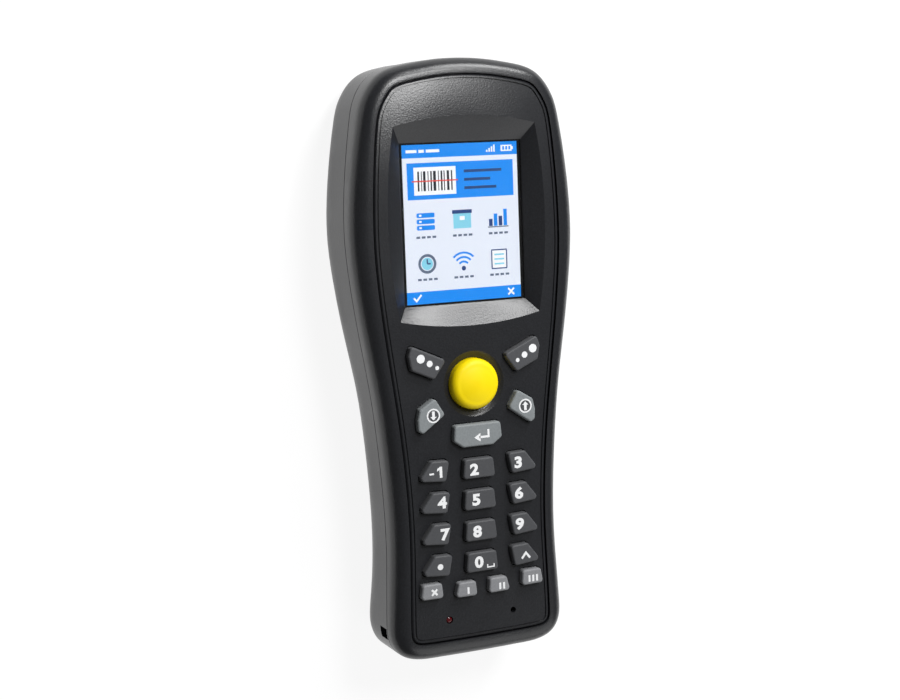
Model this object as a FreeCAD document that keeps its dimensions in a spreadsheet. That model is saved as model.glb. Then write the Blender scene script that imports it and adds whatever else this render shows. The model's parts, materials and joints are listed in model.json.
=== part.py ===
import FreeCAD, Part
import math
import os

import Sketcher
from FreeCAD import Vector

# A one-hand data terminal lying on its back. X runs across it, Y along it towards the reading
# end and Z out of its face. The origin is the middle of the flat back. Every size is in
# millimetres.

SIZES = {
    # Housing
    "overall_length": 167.25,
    "overall_depth": 28.0,
    "wall": 2.0,
    "rim_round": 4.3,
    "rim_land": 0.3,
    "end_round": 6.0,
    "end_rise": 8.0,
    "ledge_thickness": 1.6,
    "ledge_width": 1.2,
    "seam_gap": 0.35,
    "lip_height": 1.5,
    "lip_root": 2.5,
    "lip_thickness": 0.9,
    "lip_clearance": 0.15,
    # Seam height above the back, from the foot to the reading end
    "seam_foot": 22.3,
    "seam_grip": 21.0,
    "seam_shoulder": 20.8,
    "seam_temple": 19.5,
    "seam_brow": 17.3,
    "seam_crown": 15.9,
    # Face panel
    "panel_thickness": 1.8,
    "panel_gap": 0.35,
    "panel_edge": 0.4,
    "bead_inset": 0.85,
    "bead_groove": 0.4,
    "bead_depth": 0.35,
    "bezel_border": 1.2,
    # Screen recess and the window at its bottom
    "recess_depth": 3.3,
    "recess_corner_x_top": 21.3,
    "recess_corner_y_top": 65.4,
    "recess_crest": 68.0,
    "recess_bulge": 23.75,
    "recess_corner_x_low": 21.2,
    "recess_corner_y_low": 12.7,
    "recess_dip": 10.3,
    "window_width": 36.8,
    "window_length": 44.6,
    "screen_centre": 38.6,
    # Display
    "pane_thickness": 0.7,
    "pane_border": 1.8,
    "pane_to_glass": 0.14,
    "lit_width": 34.85,
    "lit_length": 43.56,
    "glass_border": 1.1,
    "glass_thickness": 1.9,
    "gasket_thickness": 0.8,
    "tray_border": 2.1,
    "tray_clearance": 0.2,
    # Keys
    "key_rise": 1.85,
    "key_travel": 1.2,
    "key_gap": 0.35,
    "key_clearance": 0.3,
    "key_edge": 0.55,
    "key_corner": 0.95,
    "flange_thickness": 1.2,
    "flange_width": 0.7,
    "plunger_radius": 1.7,
    "plunger_gap": 0.3,
    "key_pitch": 8.9,
    "number_row": -26.4,
    # Domed scan key
    "scan_key_radius": 7.7,
    "scan_key_y": -6.0,
    "scan_key_shoulder": 0.9,
    "scan_key_dome": 2.6,
    "dish_radius": 9.2,
    "dish_depth": 0.7,
    "dish_overlap": 1.0,
    # Mat under the keys
    "mat_thickness": 1.8,
    "mat_width": 40.8,
    "mat_top_y": 7.2,
    "mat_low_y": -66.4,
    "well_gap": 0.6,
    # Main board
    "board_level": 20.4,
    "board_thickness": 1.6,
    "board_width": 42.0,
    "board_top_y": 69.0,
    "board_low_y": -67.0,
    "tail_width": 31.0,
    "tail_low_y": -80.3,
    "board_corner": 1.5,
    # Screws and their bosses
    "case_boss_radius": 3.2,
    "case_post_radius": 2.8,
    "boss_meeting": 18.0,
    "boss_gap": 0.2,
    "head_boss_x": 25.3,
    "head_boss_y": 60.0,
    "side_boss_x": 24.4,
    "side_boss_y": 6.0,
    "foot_boss_x": 19.2,
    "foot_boss_y": -71.5,
    "case_screw_head": 2.5,
    "case_screw_head_height": 1.7,
    "case_screw_shank": 1.2,
    "case_screw_seat": 4.4,
    "case_screw_length": 18.6,
    "screw_clearance": 0.15,
    "thread_clearance": 0.05,
    "board_post_radius": 1.9,
    "board_post_x_top": 17.5,
    "board_post_y_top": 66.4,
    "board_post_x_low": 18.3,
    "board_post_y_low": 9.6,
    "board_post_y_tail": -70.6,
    "board_screw_head": 1.6,
    "board_screw_head_height": 1.2,
    "board_screw_shank": 0.8,
    "board_screw_length": 5.0,
    # Bevel and cross recess of a screw head, as shares of its height and radius
    "screw_head_bevel": 0.4,
    "screw_cross_reach": 0.6,
    "screw_cross_half_width": 0.14,
    "screw_cross_depth": 0.5,
    # Battery, its bay and its door
    "battery_width": 33.0,
    "battery_length": 56.0,
    "battery_height": 9.2,
    "battery_level": 3.3,
    "battery_y": -34.4,
    "battery_corner": 2.0,
    "bay_width": 34.6,
    "bay_length": 59.6,
    "bay_y": -33.7,
    "bay_depth": 13.0,
    "bay_wall": 1.4,
    "door_lip": 1.4,
    "door_skin": 1.0,
    "door_gap": 0.25,
    "door_corner": 3.0,
    "grip_width": 15.0,
    "grip_length": 7.0,
    "grip_depth": 0.6,
    "grip_ribs": 4,
    "grip_rib": 0.7,
    "grip_rib_sink": 0.1,
    "grip_y": -11.5,
    "contact_width": 16.0,
    "contact_depth": 1.5,
    "contact_height": 7.0,
    "contact_level": 4.2,
    "contact_blade": 2.0,
    "contact_pitch": 4.5,
    "contact_reach": 0.35,
    # Reading engine and its window
    "scan_window_width": 27.0,
    "scan_window_low": 5.4,
    "scan_window_high": 13.6,
    "scan_window_flare": 1.5,
    "scan_window_reach": 8.0,
    "scan_pane_thickness": 1.4,
    "scan_pane_lap": 1.6,
    "scan_pane_setback": 4.0,
    "scan_pane_clearance": 0.1,
    "scan_frame_wall": 1.4,
    "engine_width": 22.0,
    "engine_length": 11.0,
    "engine_height": 10.4,
    "engine_setback": 7.6,
    "engine_corner": 0.8,
    "engine_eye_radius": 2.8,
    "engine_eye_reach": 0.7,
    "engine_lamp_radius": 1.5,
    "engine_lamp_x": 7.4,
    "bracket_thickness": 1.0,
    "bracket_length": 9.0,
    "bracket_cheek": 6.0,
    "bracket_ear": 6.2,
    "bracket_fit": 0.2,
    "bracket_boss_radius": 2.3,
    "bracket_boss_height": 1.5,
    "bracket_screw_head": 1.8,
    "bracket_screw_head_height": 1.2,
    "bracket_screw_shank": 0.9,
    "bracket_screw_length": 2.2,
    # Socket at the foot
    "port_width": 7.7,
    "port_height": 3.9,
    "port_length": 7.4,
    "port_setback": 0.7,
    "port_sheet": 0.4,
    "port_depth": 6.0,
    "port_tongue_width": 5.0,
    "port_tongue_height": 0.9,
    "port_tongue_setback": 1.0,
    "port_clearance": 0.35,
    # Strap slot in the left corner of the foot
    "strap_slot_length": 3.2,
    "strap_slot_height": 4.6,
    "strap_slot_level": 16.9,
    "strap_side_rise": 6.5,
    "strap_end_inset": 6.0,
    # Light and buzzer at the foot of the face
    "light_x": -9.95,
    "light_y": -72.2,
    "light_radius": 0.95,
    "light_base_radius": 1.5,
    "light_base_height": 3.4,
    "light_gap": 0.1,
    "light_round": 0.55,
    "light_sink": 0.15,
    "buzzer_radius": 4.4,
    "buzzer_height": 3.5,
    "buzzer_hole": 0.85,
    "buzzer_throat": 0.8,
    "buzzer_floor": 1.0,
    # Parts on the underside of the main board
    "shield_width": 24.0,
    "shield_length": 26.0,
    "shield_height": 3.2,
    "shield_sheet": 0.4,
    "shield_y": 33.0,
    "memory_width": 10.0,
    "memory_length": 14.0,
    "memory_height": 1.2,
    "memory_y": 9.0,
    "radio_width": 24.0,
    "radio_length": 12.0,
    "radio_height": 2.4,
    "radio_y": 56.0,
    "antenna_width": 30.0,
    "antenna_length": 3.0,
    "antenna_height": 1.5,
    "antenna_y": 67.0,
}

# The housing's plan outline, from the middle of the foot round the right side to the middle of
# the reading end. Each station has its half width, its distance along the housing, the width of
# the rim there, and how far the back's rounding reaches across and up. Stations near an end
# are measured from that end, and the others from the middle of the length.
STATIONS = {
    # name: (half width, along, rim, across, up)
    "foot_middle": (0.0, 0.0, 5.1, 12.0, 11.0),
    "foot_half": (12.0, 0.1, 5.1, 12.0, 11.0),
    "foot_turn": (19.3, 0.55, 5.0, 12.0, 11.0),
    "foot_corner": (24.0, 2.75, 4.9, 12.0, 11.0),
    "foot_heel": (26.25, 6.9, 4.8, 12.0, 11.0),
    "foot_side": (26.5, 12.0, 4.8, 12.0, 11.0),
    "grip_low": (25.9, -61.0, 4.5, 14.0, 12.6),
    "waist": (25.4, -45.0, 4.3, 14.0, 12.6),
    "grip_high": (26.5, -24.0, 4.3, 14.0, 12.6),
    "flare": (28.3, -7.0, 4.2, 13.5, 12.2),
    "shoulder": (30.9, 9.6, 4.7, 11.0, 10.4),
    "cheek_low": (33.0, 26.5, 5.2, 9.0, 8.8),
    "cheek": (33.5, 38.5, 5.4, 8.0, 8.0),
    "temple": (32.3, 54.0, 4.9, 8.0, 8.0),
    "brow": (30.15, 16.1, 4.2, 8.0, 8.0),
    "crown_cheek": (28.7, 11.0, 4.3, 8.0, 8.0),
    "crown_corner": (25.8, 6.3, 4.3, 8.0, 8.0),
    "crown_turn": (21.6, 3.1, 4.3, 8.0, 8.0),
    "crown_side": (15.2, 1.45, 4.3, 8.0, 8.0),
    "crown_half": (8.0, 0.4, 4.3, 8.0, 8.0),
    "crown_middle": (0.0, 0.0, 4.3, 8.0, 8.0),
}
STATION_COLUMNS = ("x", "y", "rim", "across", "up")
FOOT_STATIONS = ("foot_middle", "foot_half", "foot_turn", "foot_corner", "foot_heel", "foot_side")
CROWN_STATIONS = (
    "brow",
    "crown_cheek",
    "crown_corner",
    "crown_turn",
    "crown_side",
    "crown_half",
    "crown_middle",
)

# Key outlines as corners, anticlockwise. The right-hand keys are listed, and the left-hand ones
# are their mirror images. Number keys are given in the first row.
SIDE_NUMBER_KEY = ((9.0, 0.0), (10.2, -5.95), (18.5, -5.2), (14.4, 0.2))
MIDDLE_NUMBER_KEY = ((-4.4, -0.4), (-4.95, -6.0), (4.95, -6.0), (4.4, -0.4))
DOTS_KEY = ((8.85, 1.55), (12.6, -3.6), (19.3, -0.6), (20.1, 3.3), (19.15, 6.2))
ARROW_KEY = ((12.7, -8.7), (9.75, -13.6), (16.6, -18.4), (17.9, -17.4), (18.0, -14.5), (17.3, -11.6))
ENTER_KEY = ((-7.0, -17.0), (-7.4, -21.4), (-4.6, -23.4), (4.6, -23.4), (7.4, -21.4), (7.0, -17.0))
OUTER_FUNCTION_KEY = ((12.6, -60.7), (12.2, -65.1), (19.0, -65.0), (18.3, -60.7))
INNER_FUNCTION_KEY = ((2.2, -61.5), (1.8, -65.8), (8.5, -65.7), (7.4, -61.5))

# How far a cutting shape passes the surface that it cuts
PAST = 1.0
# Flat edges within this distance of a height count as lying at it
LEVEL_TOLERANCE = 1e-4
# A cut that takes away less than this volume has missed its part
SMALLEST_CUT = 0.01

doc = FreeCAD.newDocument("data_terminal")
sheet = doc.addObject("Spreadsheet::Sheet", "Sizes")


def fill_sheet():
    """Puts every size in the sheet, one to a row, and every station with its five columns."""
    for row, (name, number) in enumerate(SIZES.items(), start=1):
        sheet.set(f"A{row}", name)
        sheet.set(f"B{row}", str(number))
        sheet.setAlias(f"B{row}", name)
    first = len(SIZES) + 2
    for row, (name, numbers) in enumerate(STATIONS.items(), start=first):
        sheet.set(f"A{row}", name)
        for cell, column, number in zip("BCDEF", STATION_COLUMNS, numbers):
            sheet.set(f"{cell}{row}", str(number))
            sheet.setAlias(f"{cell}{row}", f"{name}_{column}")
    doc.recompute()


fill_sheet()


def size(name):
    return float(sheet.get(name))


# Heights above the back that several parts share, as expressions on the sheet
FACE = "Sizes.overall_depth"
PANEL_BASE = f"({FACE} - Sizes.panel_thickness)"
LEDGE_BASE = f"({PANEL_BASE} - Sizes.ledge_thickness)"
RECESS_FLOOR = f"({FACE} - Sizes.recess_depth)"
PANE_BASE = f"({RECESS_FLOOR} - Sizes.pane_thickness)"
GLASS_TOP = f"({PANE_BASE} - Sizes.pane_to_glass)"
TRAY_TOP = f"({PANE_BASE} - Sizes.gasket_thickness)"
BOARD_TOP = "Sizes.board_level"
BOARD_BASE = f"({BOARD_TOP} - Sizes.board_thickness)"
FLANGE_TOP = f"({PANEL_BASE} - Sizes.key_clearance)"
FLANGE_BASE = f"({FLANGE_TOP} - Sizes.flange_thickness)"
KEY_TOP = f"({FACE} + Sizes.key_rise)"
PLUNGER_TIP = f"({BOARD_TOP} + Sizes.key_travel + Sizes.plunger_gap)"
BRACKET_SEAT = "(Sizes.wall + Sizes.bracket_boss_height)"
ENGINE_BASE = f"({BRACKET_SEAT} + Sizes.bracket_thickness)"
CROWN = "(Sizes.overall_length / 2)"
FOOT = "(0 - Sizes.overall_length / 2)"
ENGINE_FACE = f"({CROWN} - Sizes.engine_setback)"
PANE_FACE = f"({CROWN} - Sizes.scan_pane_setback)"
BAY_END = "(Sizes.bay_y + Sizes.bay_length / 2)"


def value(expression):
    return float(sheet.evalExpression(expression))


def mirror(points):
    """Mirrors an outline across the middle plane and keeps it anticlockwise."""
    return [(-x, y) for x, y in reversed(points)]


def shift(points, along):
    return [(x, y + along) for x, y in points]


def grow(points, distance):
    """Moves each side of an anticlockwise outline outwards."""
    corners = [Vector(x, y) for x, y in points]
    grown = []
    for index, corner in enumerate(corners):
        before = (corner - corners[index - 1]).normalize()
        after = (corners[(index + 1) % len(corners)] - corner).normalize()
        normal_before = Vector(before.y, -before.x)
        normal_after = Vector(after.y, -after.x)
        share = 1 + normal_before.dot(normal_after)
        moved = corner + (normal_before + normal_after) * (distance / share)
        grown.append((moved.x, moved.y))
    return grown


def rounded(points, radius):
    """The lines and corner arcs of an outline, as geometry for a sketch or a wire."""
    corners = [Vector(x, y) for x, y in points]
    arcs = []
    for index, corner in enumerate(corners):
        before = (corners[index - 1] - corner).normalize()
        after = (corners[(index + 1) % len(corners)] - corner).normalize()
        half = before.getAngle(after) / 2
        reach = radius / math.tan(half)
        middle = (before + after).normalize() * (radius / math.sin(half) - radius)
        arcs.append(Part.Arc(corner + before * reach, corner + middle, corner + after * reach))
    geometry = []
    for index, arc in enumerate(arcs):
        following = arcs[(index + 1) % len(arcs)]
        geometry.append(arc)
        geometry.append(Part.LineSegment(arc.EndPoint, following.StartPoint))
    return geometry


def rectangle_corners(width, length, centre_y=0.0):
    half, top, low = width / 2, centre_y + length / 2, centre_y - length / 2
    return [(-half, top), (-half, low), (half, low), (half, top)]


def prism(geometry, base, top):
    """A solid with the outline of flat geometry, from one height to another."""
    wire = Part.Wire([piece.toShape() for piece in geometry])
    wire.translate(Vector(0, 0, base))
    return Part.Face(wire).extrude(Vector(0, 0, top - base))


def box(x_range, y_range, z_range):
    corner = Vector(x_range[0], y_range[0], z_range[0])
    sides = (x_range[1] - x_range[0], y_range[1] - y_range[0], z_range[1] - z_range[0])
    return Part.makeBox(*sides, corner)


def cylinder(x, y, radius, base, top):
    return Part.makeCylinder(radius, top - base, Vector(x, y, base))


class Station:
    """One station of the plan outline, on the right side of the housing."""

    def __init__(self, name):
        self.x = size(f"{name}_x")
        self.rim = size(f"{name}_rim")
        self.across = size(f"{name}_across")
        self.up = size(f"{name}_up")
        self.flank = size(f"{name}_x")
        along = size(f"{name}_y")
        half = size("overall_length") / 2
        if name in FOOT_STATIONS:
            self.y = along - half
            self.flank = size("foot_side_x")
        elif name in CROWN_STATIONS:
            self.y = half - along
            self.flank = size("brow_x")
        else:
            self.y = along


def outline_stations():
    return [Station(name) for name in STATIONS]


def curve_parameters(stations):
    """Steps along the outline's right half that every curve round the housing shares."""
    points = [Vector(station.x, station.y) for station in stations]
    parameters = [0.0]
    for start, end in zip(points, points[1:]):
        parameters.append(parameters[-1] + math.sqrt(start.distanceToPoint(end)))
    return parameters


def half_curve(points, parameters, heading):
    """A smooth curve from one crossing of the middle plane to the other, square to both."""
    first_speed = points[0].distanceToPoint(points[1]) / (parameters[1] - parameters[0])
    last_speed = points[-1].distanceToPoint(points[-2]) / (parameters[-1] - parameters[-2])
    curve = Part.BSplineCurve()
    curve.interpolate(
        Points=points,
        Parameters=parameters,
        InitialTangent=Vector(heading * first_speed, 0, 0),
        FinalTangent=Vector(-heading * last_speed, 0, 0),
        Scale=False,
    )
    return curve


def closed_curves(points):
    """The right half of an outline and its mirror image, which meet in the middle plane."""
    mirrored = [Vector(-point.x, point.y, point.z) for point in reversed(points)]
    returning = [PARAMETERS[-1] - parameter for parameter in reversed(PARAMETERS)]
    return [half_curve(points, PARAMETERS, 1), half_curve(mirrored, returning, -1)]


def outline_normals(stations):
    """The outward direction at each station, square to the smooth outline."""
    points = [Vector(station.x, station.y) for station in stations]
    curve = half_curve(points, PARAMETERS, 1)
    normals = []
    for point in points:
        tangent = curve.tangent(curve.parameter(point))[0]
        normals.append(Vector(tangent.y, -tangent.x).normalize())
    return normals


OUTLINE = outline_stations()
PARAMETERS = curve_parameters(OUTLINE)
NORMALS = outline_normals(OUTLINE)
END_TAPER = 6
BACK_STEPS = 6
UPRIGHT_STEPS = 4
RIM_STEPS = 5


def inset_points(inset, height=0.0):
    """The outline moved inwards by a distance, or by one worked out for each station."""
    points = []
    for station, normal in zip(OUTLINE, NORMALS):
        distance = inset(station) if callable(inset) else inset
        points.append(Vector(station.x, station.y, height) - normal * distance)
    return points


def outline_wire(points):
    return Part.Wire([curve.toShape() for curve in closed_curves(points)])


def outline_prism(inset, base, top):
    face = Part.Face(outline_wire(inset_points(inset, base)))
    return face.extrude(Vector(0, 0, top - base))


def outline_ring(outer, inner, base, top):
    """A wall between two insets of the outline."""
    wires = [outline_wire(inset_points(inset, base)) for inset in (outer, inner)]
    return Part.makeFace(wires, "Part::FaceMakerBullseye").extrude(Vector(0, 0, top - base))


def to_groove(extra=0.0):
    """Inset from the outline to the groove that bounds the face panel."""
    return lambda station: station.rim + extra


def quarter_round(height, rise):
    """Share of a rounding's reach that is filled at a height above its foot."""
    left = max(rise - height, 0.0) / rise
    return math.sqrt(1 - left * left)


def back_section(height, wall):
    """The plan outline at a height in the rounded back, drawn in by a wall thickness."""
    half = size("overall_length") / 2
    depth = height - wall
    end_filled = quarter_round(depth, size("end_rise") - wall)
    end_inset = (size("end_round") - wall) * (1 - end_filled)
    points = []
    for station, point in zip(OUTLINE, inset_points(wall, height)):
        filled = quarter_round(depth, station.up - wall)
        drawn_in = (station.across - wall) * (1 - filled) / (station.flank - wall)
        end_share = (abs(point.y) / half) ** END_TAPER
        along = point.y - math.copysign(end_inset * end_share, point.y)
        points.append(Vector(point.x * (1 - drawn_in), along, height))
    return points


def loft(sections):
    return Part.makeLoft([outline_wire(points) for points in sections], True, False)


def back_sections(wall):
    tallest = max(station.up for station in OUTLINE) - wall
    sections = []
    for step in range(BACK_STEPS + 1):
        turn = math.pi / 2 * step / BACK_STEPS
        sections.append(back_section(wall + tallest * (1 - math.cos(turn)), wall))
    return sections


def upright_sections(inset, base, top):
    """Sections above a height, close enough together to keep the loft's sides straight."""
    rise = (top - base) / UPRIGHT_STEPS
    return [inset_points(inset, base + rise * step) for step in range(1, UPRIGHT_STEPS + 1)]


def rim_inset(share):
    """How far in a share of the rim's rounding lies, which leaves a flat land at the groove."""
    return lambda station: (station.rim - size("rim_land")) * share


def whole_body():
    """The housing as one solid: rounded back, upright sides and a rounded rim."""
    rim = size("rim_round")
    rim_start = size("overall_depth") - rim
    sections = back_sections(0.0)
    sections += upright_sections(0.0, sections[-1][0].z, rim_start)
    for step in range(1, RIM_STEPS + 1):
        turn = math.pi / 2 * step / RIM_STEPS
        sections.append(inset_points(rim_inset(1 - math.cos(turn)), rim_start + rim * math.sin(turn)))
    return loft(sections)


def hollow(wall):
    """What a wall of one thickness leaves inside the housing, up to the panel's ledge."""
    sections = back_sections(wall)
    return loft(sections + upright_sections(wall, sections[-1][0].z, value(LEDGE_BASE)))


def seam_curve(offset):
    """The seam between the two shells, seen from the side and moved up by an offset."""
    half = size("overall_length") / 2
    beyond = half + 20
    heights = (
        (-beyond, "seam_foot"),
        (-half, "seam_foot"),
        (size("waist_y"), "seam_grip"),
        (size("shoulder_y"), "seam_shoulder"),
        (size("temple_y"), "seam_temple"),
        (half - size("crown_corner_y"), "seam_brow"),
        (half, "seam_crown"),
        (beyond, "seam_crown"),
    )
    curve = Part.BSplineCurve()
    curve.interpolate([Vector(-half, y, size(name) + offset) for y, name in heights])
    return curve


def between_seams(low, high):
    """Everything between the seam moved by one offset and by another, or the back if none."""
    upper = seam_curve(high)
    if low is None:
        depth = Vector(0, 0, -size("overall_depth") * 2)
        near, far = upper.StartPoint + depth, upper.EndPoint + depth
        under = Part.makeLine(far, near)
    else:
        lower = seam_curve(low)
        near, far = lower.StartPoint, lower.EndPoint
        lower.reverse()
        under = lower.toShape()
    edges = [
        upper.toShape(),
        Part.makeLine(upper.EndPoint, far),
        under,
        Part.makeLine(near, upper.StartPoint),
    ]
    face = Part.Face(Part.Wire(edges))
    return face.extrude(Vector(size("overall_length"), 0, 0))


def case_bosses():
    """Places of the six screws that hold the shells together."""
    places = []
    for name in ("head", "side", "foot"):
        x, y = size(f"{name}_boss_x"), size(f"{name}_boss_y")
        places += [(x, y), (-x, y)]
    return places


def board_posts():
    x_top, y_top = size("board_post_x_top"), size("board_post_y_top")
    x_low, y_low = size("board_post_x_low"), size("board_post_y_low")
    tail = size("board_post_y_tail")
    return [(x_top, y_top), (-x_top, y_top), (x_low, y_low), (-x_low, y_low), (0.0, tail)]


BODY_SOLID = whole_body()
CAVITY = hollow(size("wall"))
finished = []


def add_shape(label, shape):
    """A sub-part whose free form is worked out here, kept as one object of the document."""
    part = doc.addObject("Part::Feature", label)
    part.Label = label
    part.Shape = shape
    part.Placement = FreeCAD.Placement()
    finished.append(part)
    return part


def front_case():
    """Front shell: rounded rim, a ledge under the face panel and the screw posts."""
    face, seat = size("overall_depth"), value(PANEL_BASE)
    shell = BODY_SOLID.cut(CAVITY)
    shell = shell.cut(outline_prism(to_groove(), seat, face + PAST))
    shell = shell.cut(outline_prism(to_groove(size("ledge_width")), size("wall"), face))
    shell = shell.cut(between_seams(None, size("seam_gap") / 2))
    post_base = size("boss_meeting") + size("boss_gap")
    for x, y in case_bosses():
        shell = shell.fuse(cylinder(x, y, size("case_post_radius"), post_base, value(LEDGE_BASE)))
    pilot = size("case_screw_shank") + size("thread_clearance")
    pilot_top = size("case_screw_seat") + size("case_screw_length") + size("boss_gap")
    for x, y in case_bosses():
        shell = shell.cut(cylinder(x, y, pilot, post_base - PAST, pilot_top))
    return shell.removeSplitter()


def seam_lip():
    """Tongue along the rear shell's edge that stands inside the front shell."""
    wall, clearance = size("wall"), size("lip_clearance")
    inner = wall + clearance + size("lip_thickness")
    base = size("seam_crown") - 2 * size("lip_root")
    top = size("seam_foot") + 2 * size("lip_height")
    tongue = outline_ring(wall + clearance, inner, base, top)
    root = outline_ring(wall / 2, inner, base, top)
    tongue = tongue.common(between_seams(-size("lip_root"), size("lip_height")))
    root = root.common(between_seams(-size("lip_root"), -size("seam_gap") / 2))
    return [tongue, root]


def bay_outline(margin):
    corners = rectangle_corners(size("bay_width"), size("bay_length"), size("bay_y"))
    return rounded(grow(corners, margin), size("door_corner"))


def scan_window_cuts():
    """The flared opening in the reading end, and the slot that holds its pane."""
    low, high = size("scan_window_low"), size("scan_window_high")
    half = size("scan_window_width") / 2
    flare, lap = size("scan_window_flare"), size("scan_pane_lap")
    clearance = size("scan_pane_clearance")
    front = value(PANE_FACE)
    back = front - size("scan_pane_thickness")
    end = size("overall_length") / 2

    def frame_wire(margin, y):
        corners = [
            Vector(-half - margin, y, low - margin),
            Vector(half + margin, y, low - margin),
            Vector(half + margin, y, high + margin),
            Vector(-half - margin, y, high + margin),
        ]
        return Part.makePolygon(corners + corners[:1])

    opening = Part.makeLoft([frame_wire(0, front), frame_wire(flare, end + PAST)], True, True)
    light_path = box((-half, half), (front - size("scan_window_reach"), front + PAST), (low, high))
    slot = box(
        (-half - lap - clearance, half + lap + clearance),
        (back - clearance, front + clearance),
        (low - lap - clearance, size("overall_depth")),
    )
    return opening.fuse([light_path, slot])


def strap_slot_cuts():
    """Two small openings either side of the foot's left corner, for a wrist strap."""
    level, height = size("strap_slot_level"), size("strap_slot_height")
    length = size("strap_slot_length")
    end = -size("overall_length") / 2
    side = -size("foot_side_x")
    rise, inset = size("strap_side_rise"), size("strap_end_inset")
    depth = size("wall") * 2
    z_range = (level, level + height)
    through_side = box((side - PAST, side + depth), (end + rise, end + rise + length), z_range)
    through_end = box((side + inset, side + inset + length), (end - PAST, end + depth), z_range)
    return through_side.fuse(through_end)


def port_cut():
    margin = size("port_clearance")
    half = size("port_width") / 2 + margin
    top = value(BOARD_BASE)
    end = -size("overall_length") / 2
    z_range = (top - size("port_height") - margin, top + margin)
    return box((-half, half), (end - PAST, end + 2 * size("wall")), z_range)


def rear_case():
    """Rear shell: rounded back, battery bay, screw bosses, window frame and sockets."""
    wall, floor = size("wall"), size("bay_depth")
    bay_wall = size("bay_wall")
    shell = BODY_SOLID.cut(CAVITY).common(between_seams(None, -size("seam_gap") / 2))

    bay = prism(bay_outline(bay_wall), 0, floor + bay_wall).common(BODY_SOLID)
    solids = seam_lip() + [bay]
    for x, y in case_bosses():
        boss = cylinder(x, y, size("case_boss_radius"), 0, size("boss_meeting"))
        solids.append(boss.common(BODY_SOLID))
    frame_half = size("scan_window_width") / 2 + size("scan_pane_lap") + size("scan_frame_wall")
    frame_back = value(PANE_FACE) - size("scan_pane_thickness") - size("scan_frame_wall")
    frame_top = size("scan_window_high") + size("scan_pane_lap")
    end = size("overall_length") / 2
    frame = box((-frame_half, frame_half), (frame_back, end), (0, frame_top))
    solids.append(frame.common(BODY_SOLID))
    for x in (-bracket_screw_x(), bracket_screw_x()):
        y = bracket_centre()
        solids.append(cylinder(x, y, size("bracket_boss_radius"), wall / 2, value(BRACKET_SEAT)))
    shell = shell.fuse(solids)

    cuts = [prism(bay_outline(0), -PAST, floor)]
    rebate = BODY_SOLID.cut(hollow(size("door_skin") + size("door_gap") / 2))
    outer = prism(bay_outline(size("door_lip") + size("door_gap")), -PAST, floor)
    cuts.append(rebate.common(outer))
    seat, head = size("case_screw_seat"), size("case_screw_head") + size("screw_clearance")
    shank = size("case_screw_shank") + size("screw_clearance")
    for x, y in case_bosses():
        cuts.append(cylinder(x, y, head, -PAST, seat))
        cuts.append(cylinder(x, y, shank, 0, size("boss_meeting") + PAST))
    pilot = size("bracket_screw_shank") + size("thread_clearance")
    pilot_base = value(ENGINE_BASE) - size("bracket_screw_length") - size("bracket_fit")
    for x in (-bracket_screw_x(), bracket_screw_x()):
        cuts.append(cylinder(x, bracket_centre(), pilot, pilot_base, value(ENGINE_BASE)))
    cuts += [scan_window_cuts(), strap_slot_cuts(), port_cut()]
    return shell.cut(cuts).removeSplitter()


def battery_door():
    """Door with a thin lip all round that sits in the rear shell's rebate."""
    skin, gap = size("door_skin"), size("door_gap")
    floor = size("bay_depth")
    lip = prism(bay_outline(size("door_lip")), -PAST, floor)
    outer = BODY_SOLID.cut(hollow(skin)).common(lip)
    plug = prism(bay_outline(-gap), -PAST, floor)
    inner = BODY_SOLID.cut(CAVITY).common(plug)
    door = outer.fuse(inner)
    width, length = size("grip_width"), size("grip_length")
    middle, depth = size("grip_y"), size("grip_depth")
    grip = rounded(rectangle_corners(width, length, middle), depth)
    door = door.cut(prism(grip, -PAST, depth))
    count, rib = int(size("grip_ribs")), size("grip_rib")
    for index in range(count):
        y = middle + (index - (count - 1) / 2) * length / (count + 1)
        rib_range = (y - rib / 2, y + rib / 2)
        door = door.fuse(box((-width / 2, width / 2), rib_range, (size("grip_rib_sink"), depth)))
    return door.removeSplitter()


def screws(places, head, head_height, shank, length, seat):
    """Pan-head screws driven upwards, with a cross recess, as a group of separate solids."""
    group = []
    for x, y in places:
        bevel = head_height * size("screw_head_bevel")
        brow = seat - head_height + bevel
        crown = Part.makeCone(head - bevel, head, bevel, Vector(x, y, seat - head_height))
        screw = crown.fuse([cylinder(x, y, head, brow, seat), cylinder(x, y, shank, seat, seat + length)])
        arm, slot = head * size("screw_cross_reach"), head * size("screw_cross_half_width")
        depth = head_height * size("screw_cross_depth")
        z_range = (seat - head_height - PAST, seat - head_height + depth)
        cross = box((x - arm, x + arm), (y - slot, y + slot), z_range)
        cross = cross.fuse(box((x - slot, x + slot), (y - arm, y + arm), z_range))
        group.append(screw.cut(cross))
    return Part.Compound(group)


def bracket_half_width():
    return size("engine_width") / 2 + size("bracket_fit") + size("bracket_thickness")


def bracket_screw_x():
    return bracket_half_width() + size("bracket_ear") / 2


def bracket_centre():
    return value(ENGINE_FACE) - size("engine_length") / 2


add_shape("front_case", front_case())
add_shape("rear_case", rear_case())
add_shape("battery_door", battery_door())
add_shape(
    "case_screws",
    screws(
        case_bosses(),
        size("case_screw_head"),
        size("case_screw_head_height"),
        size("case_screw_shank"),
        size("case_screw_length"),
        size("case_screw_seat"),
    ),
)
add_shape(
    "board_screws",
    screws(
        board_posts(),
        size("board_screw_head"),
        size("board_screw_head_height"),
        size("board_screw_shank"),
        size("board_screw_length"),
        value(BOARD_BASE),
    ),
)


def new_body(label):
    body = doc.addObject("PartDesign::Body", label)
    body.Label = label
    finished.append(body)
    return body


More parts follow.
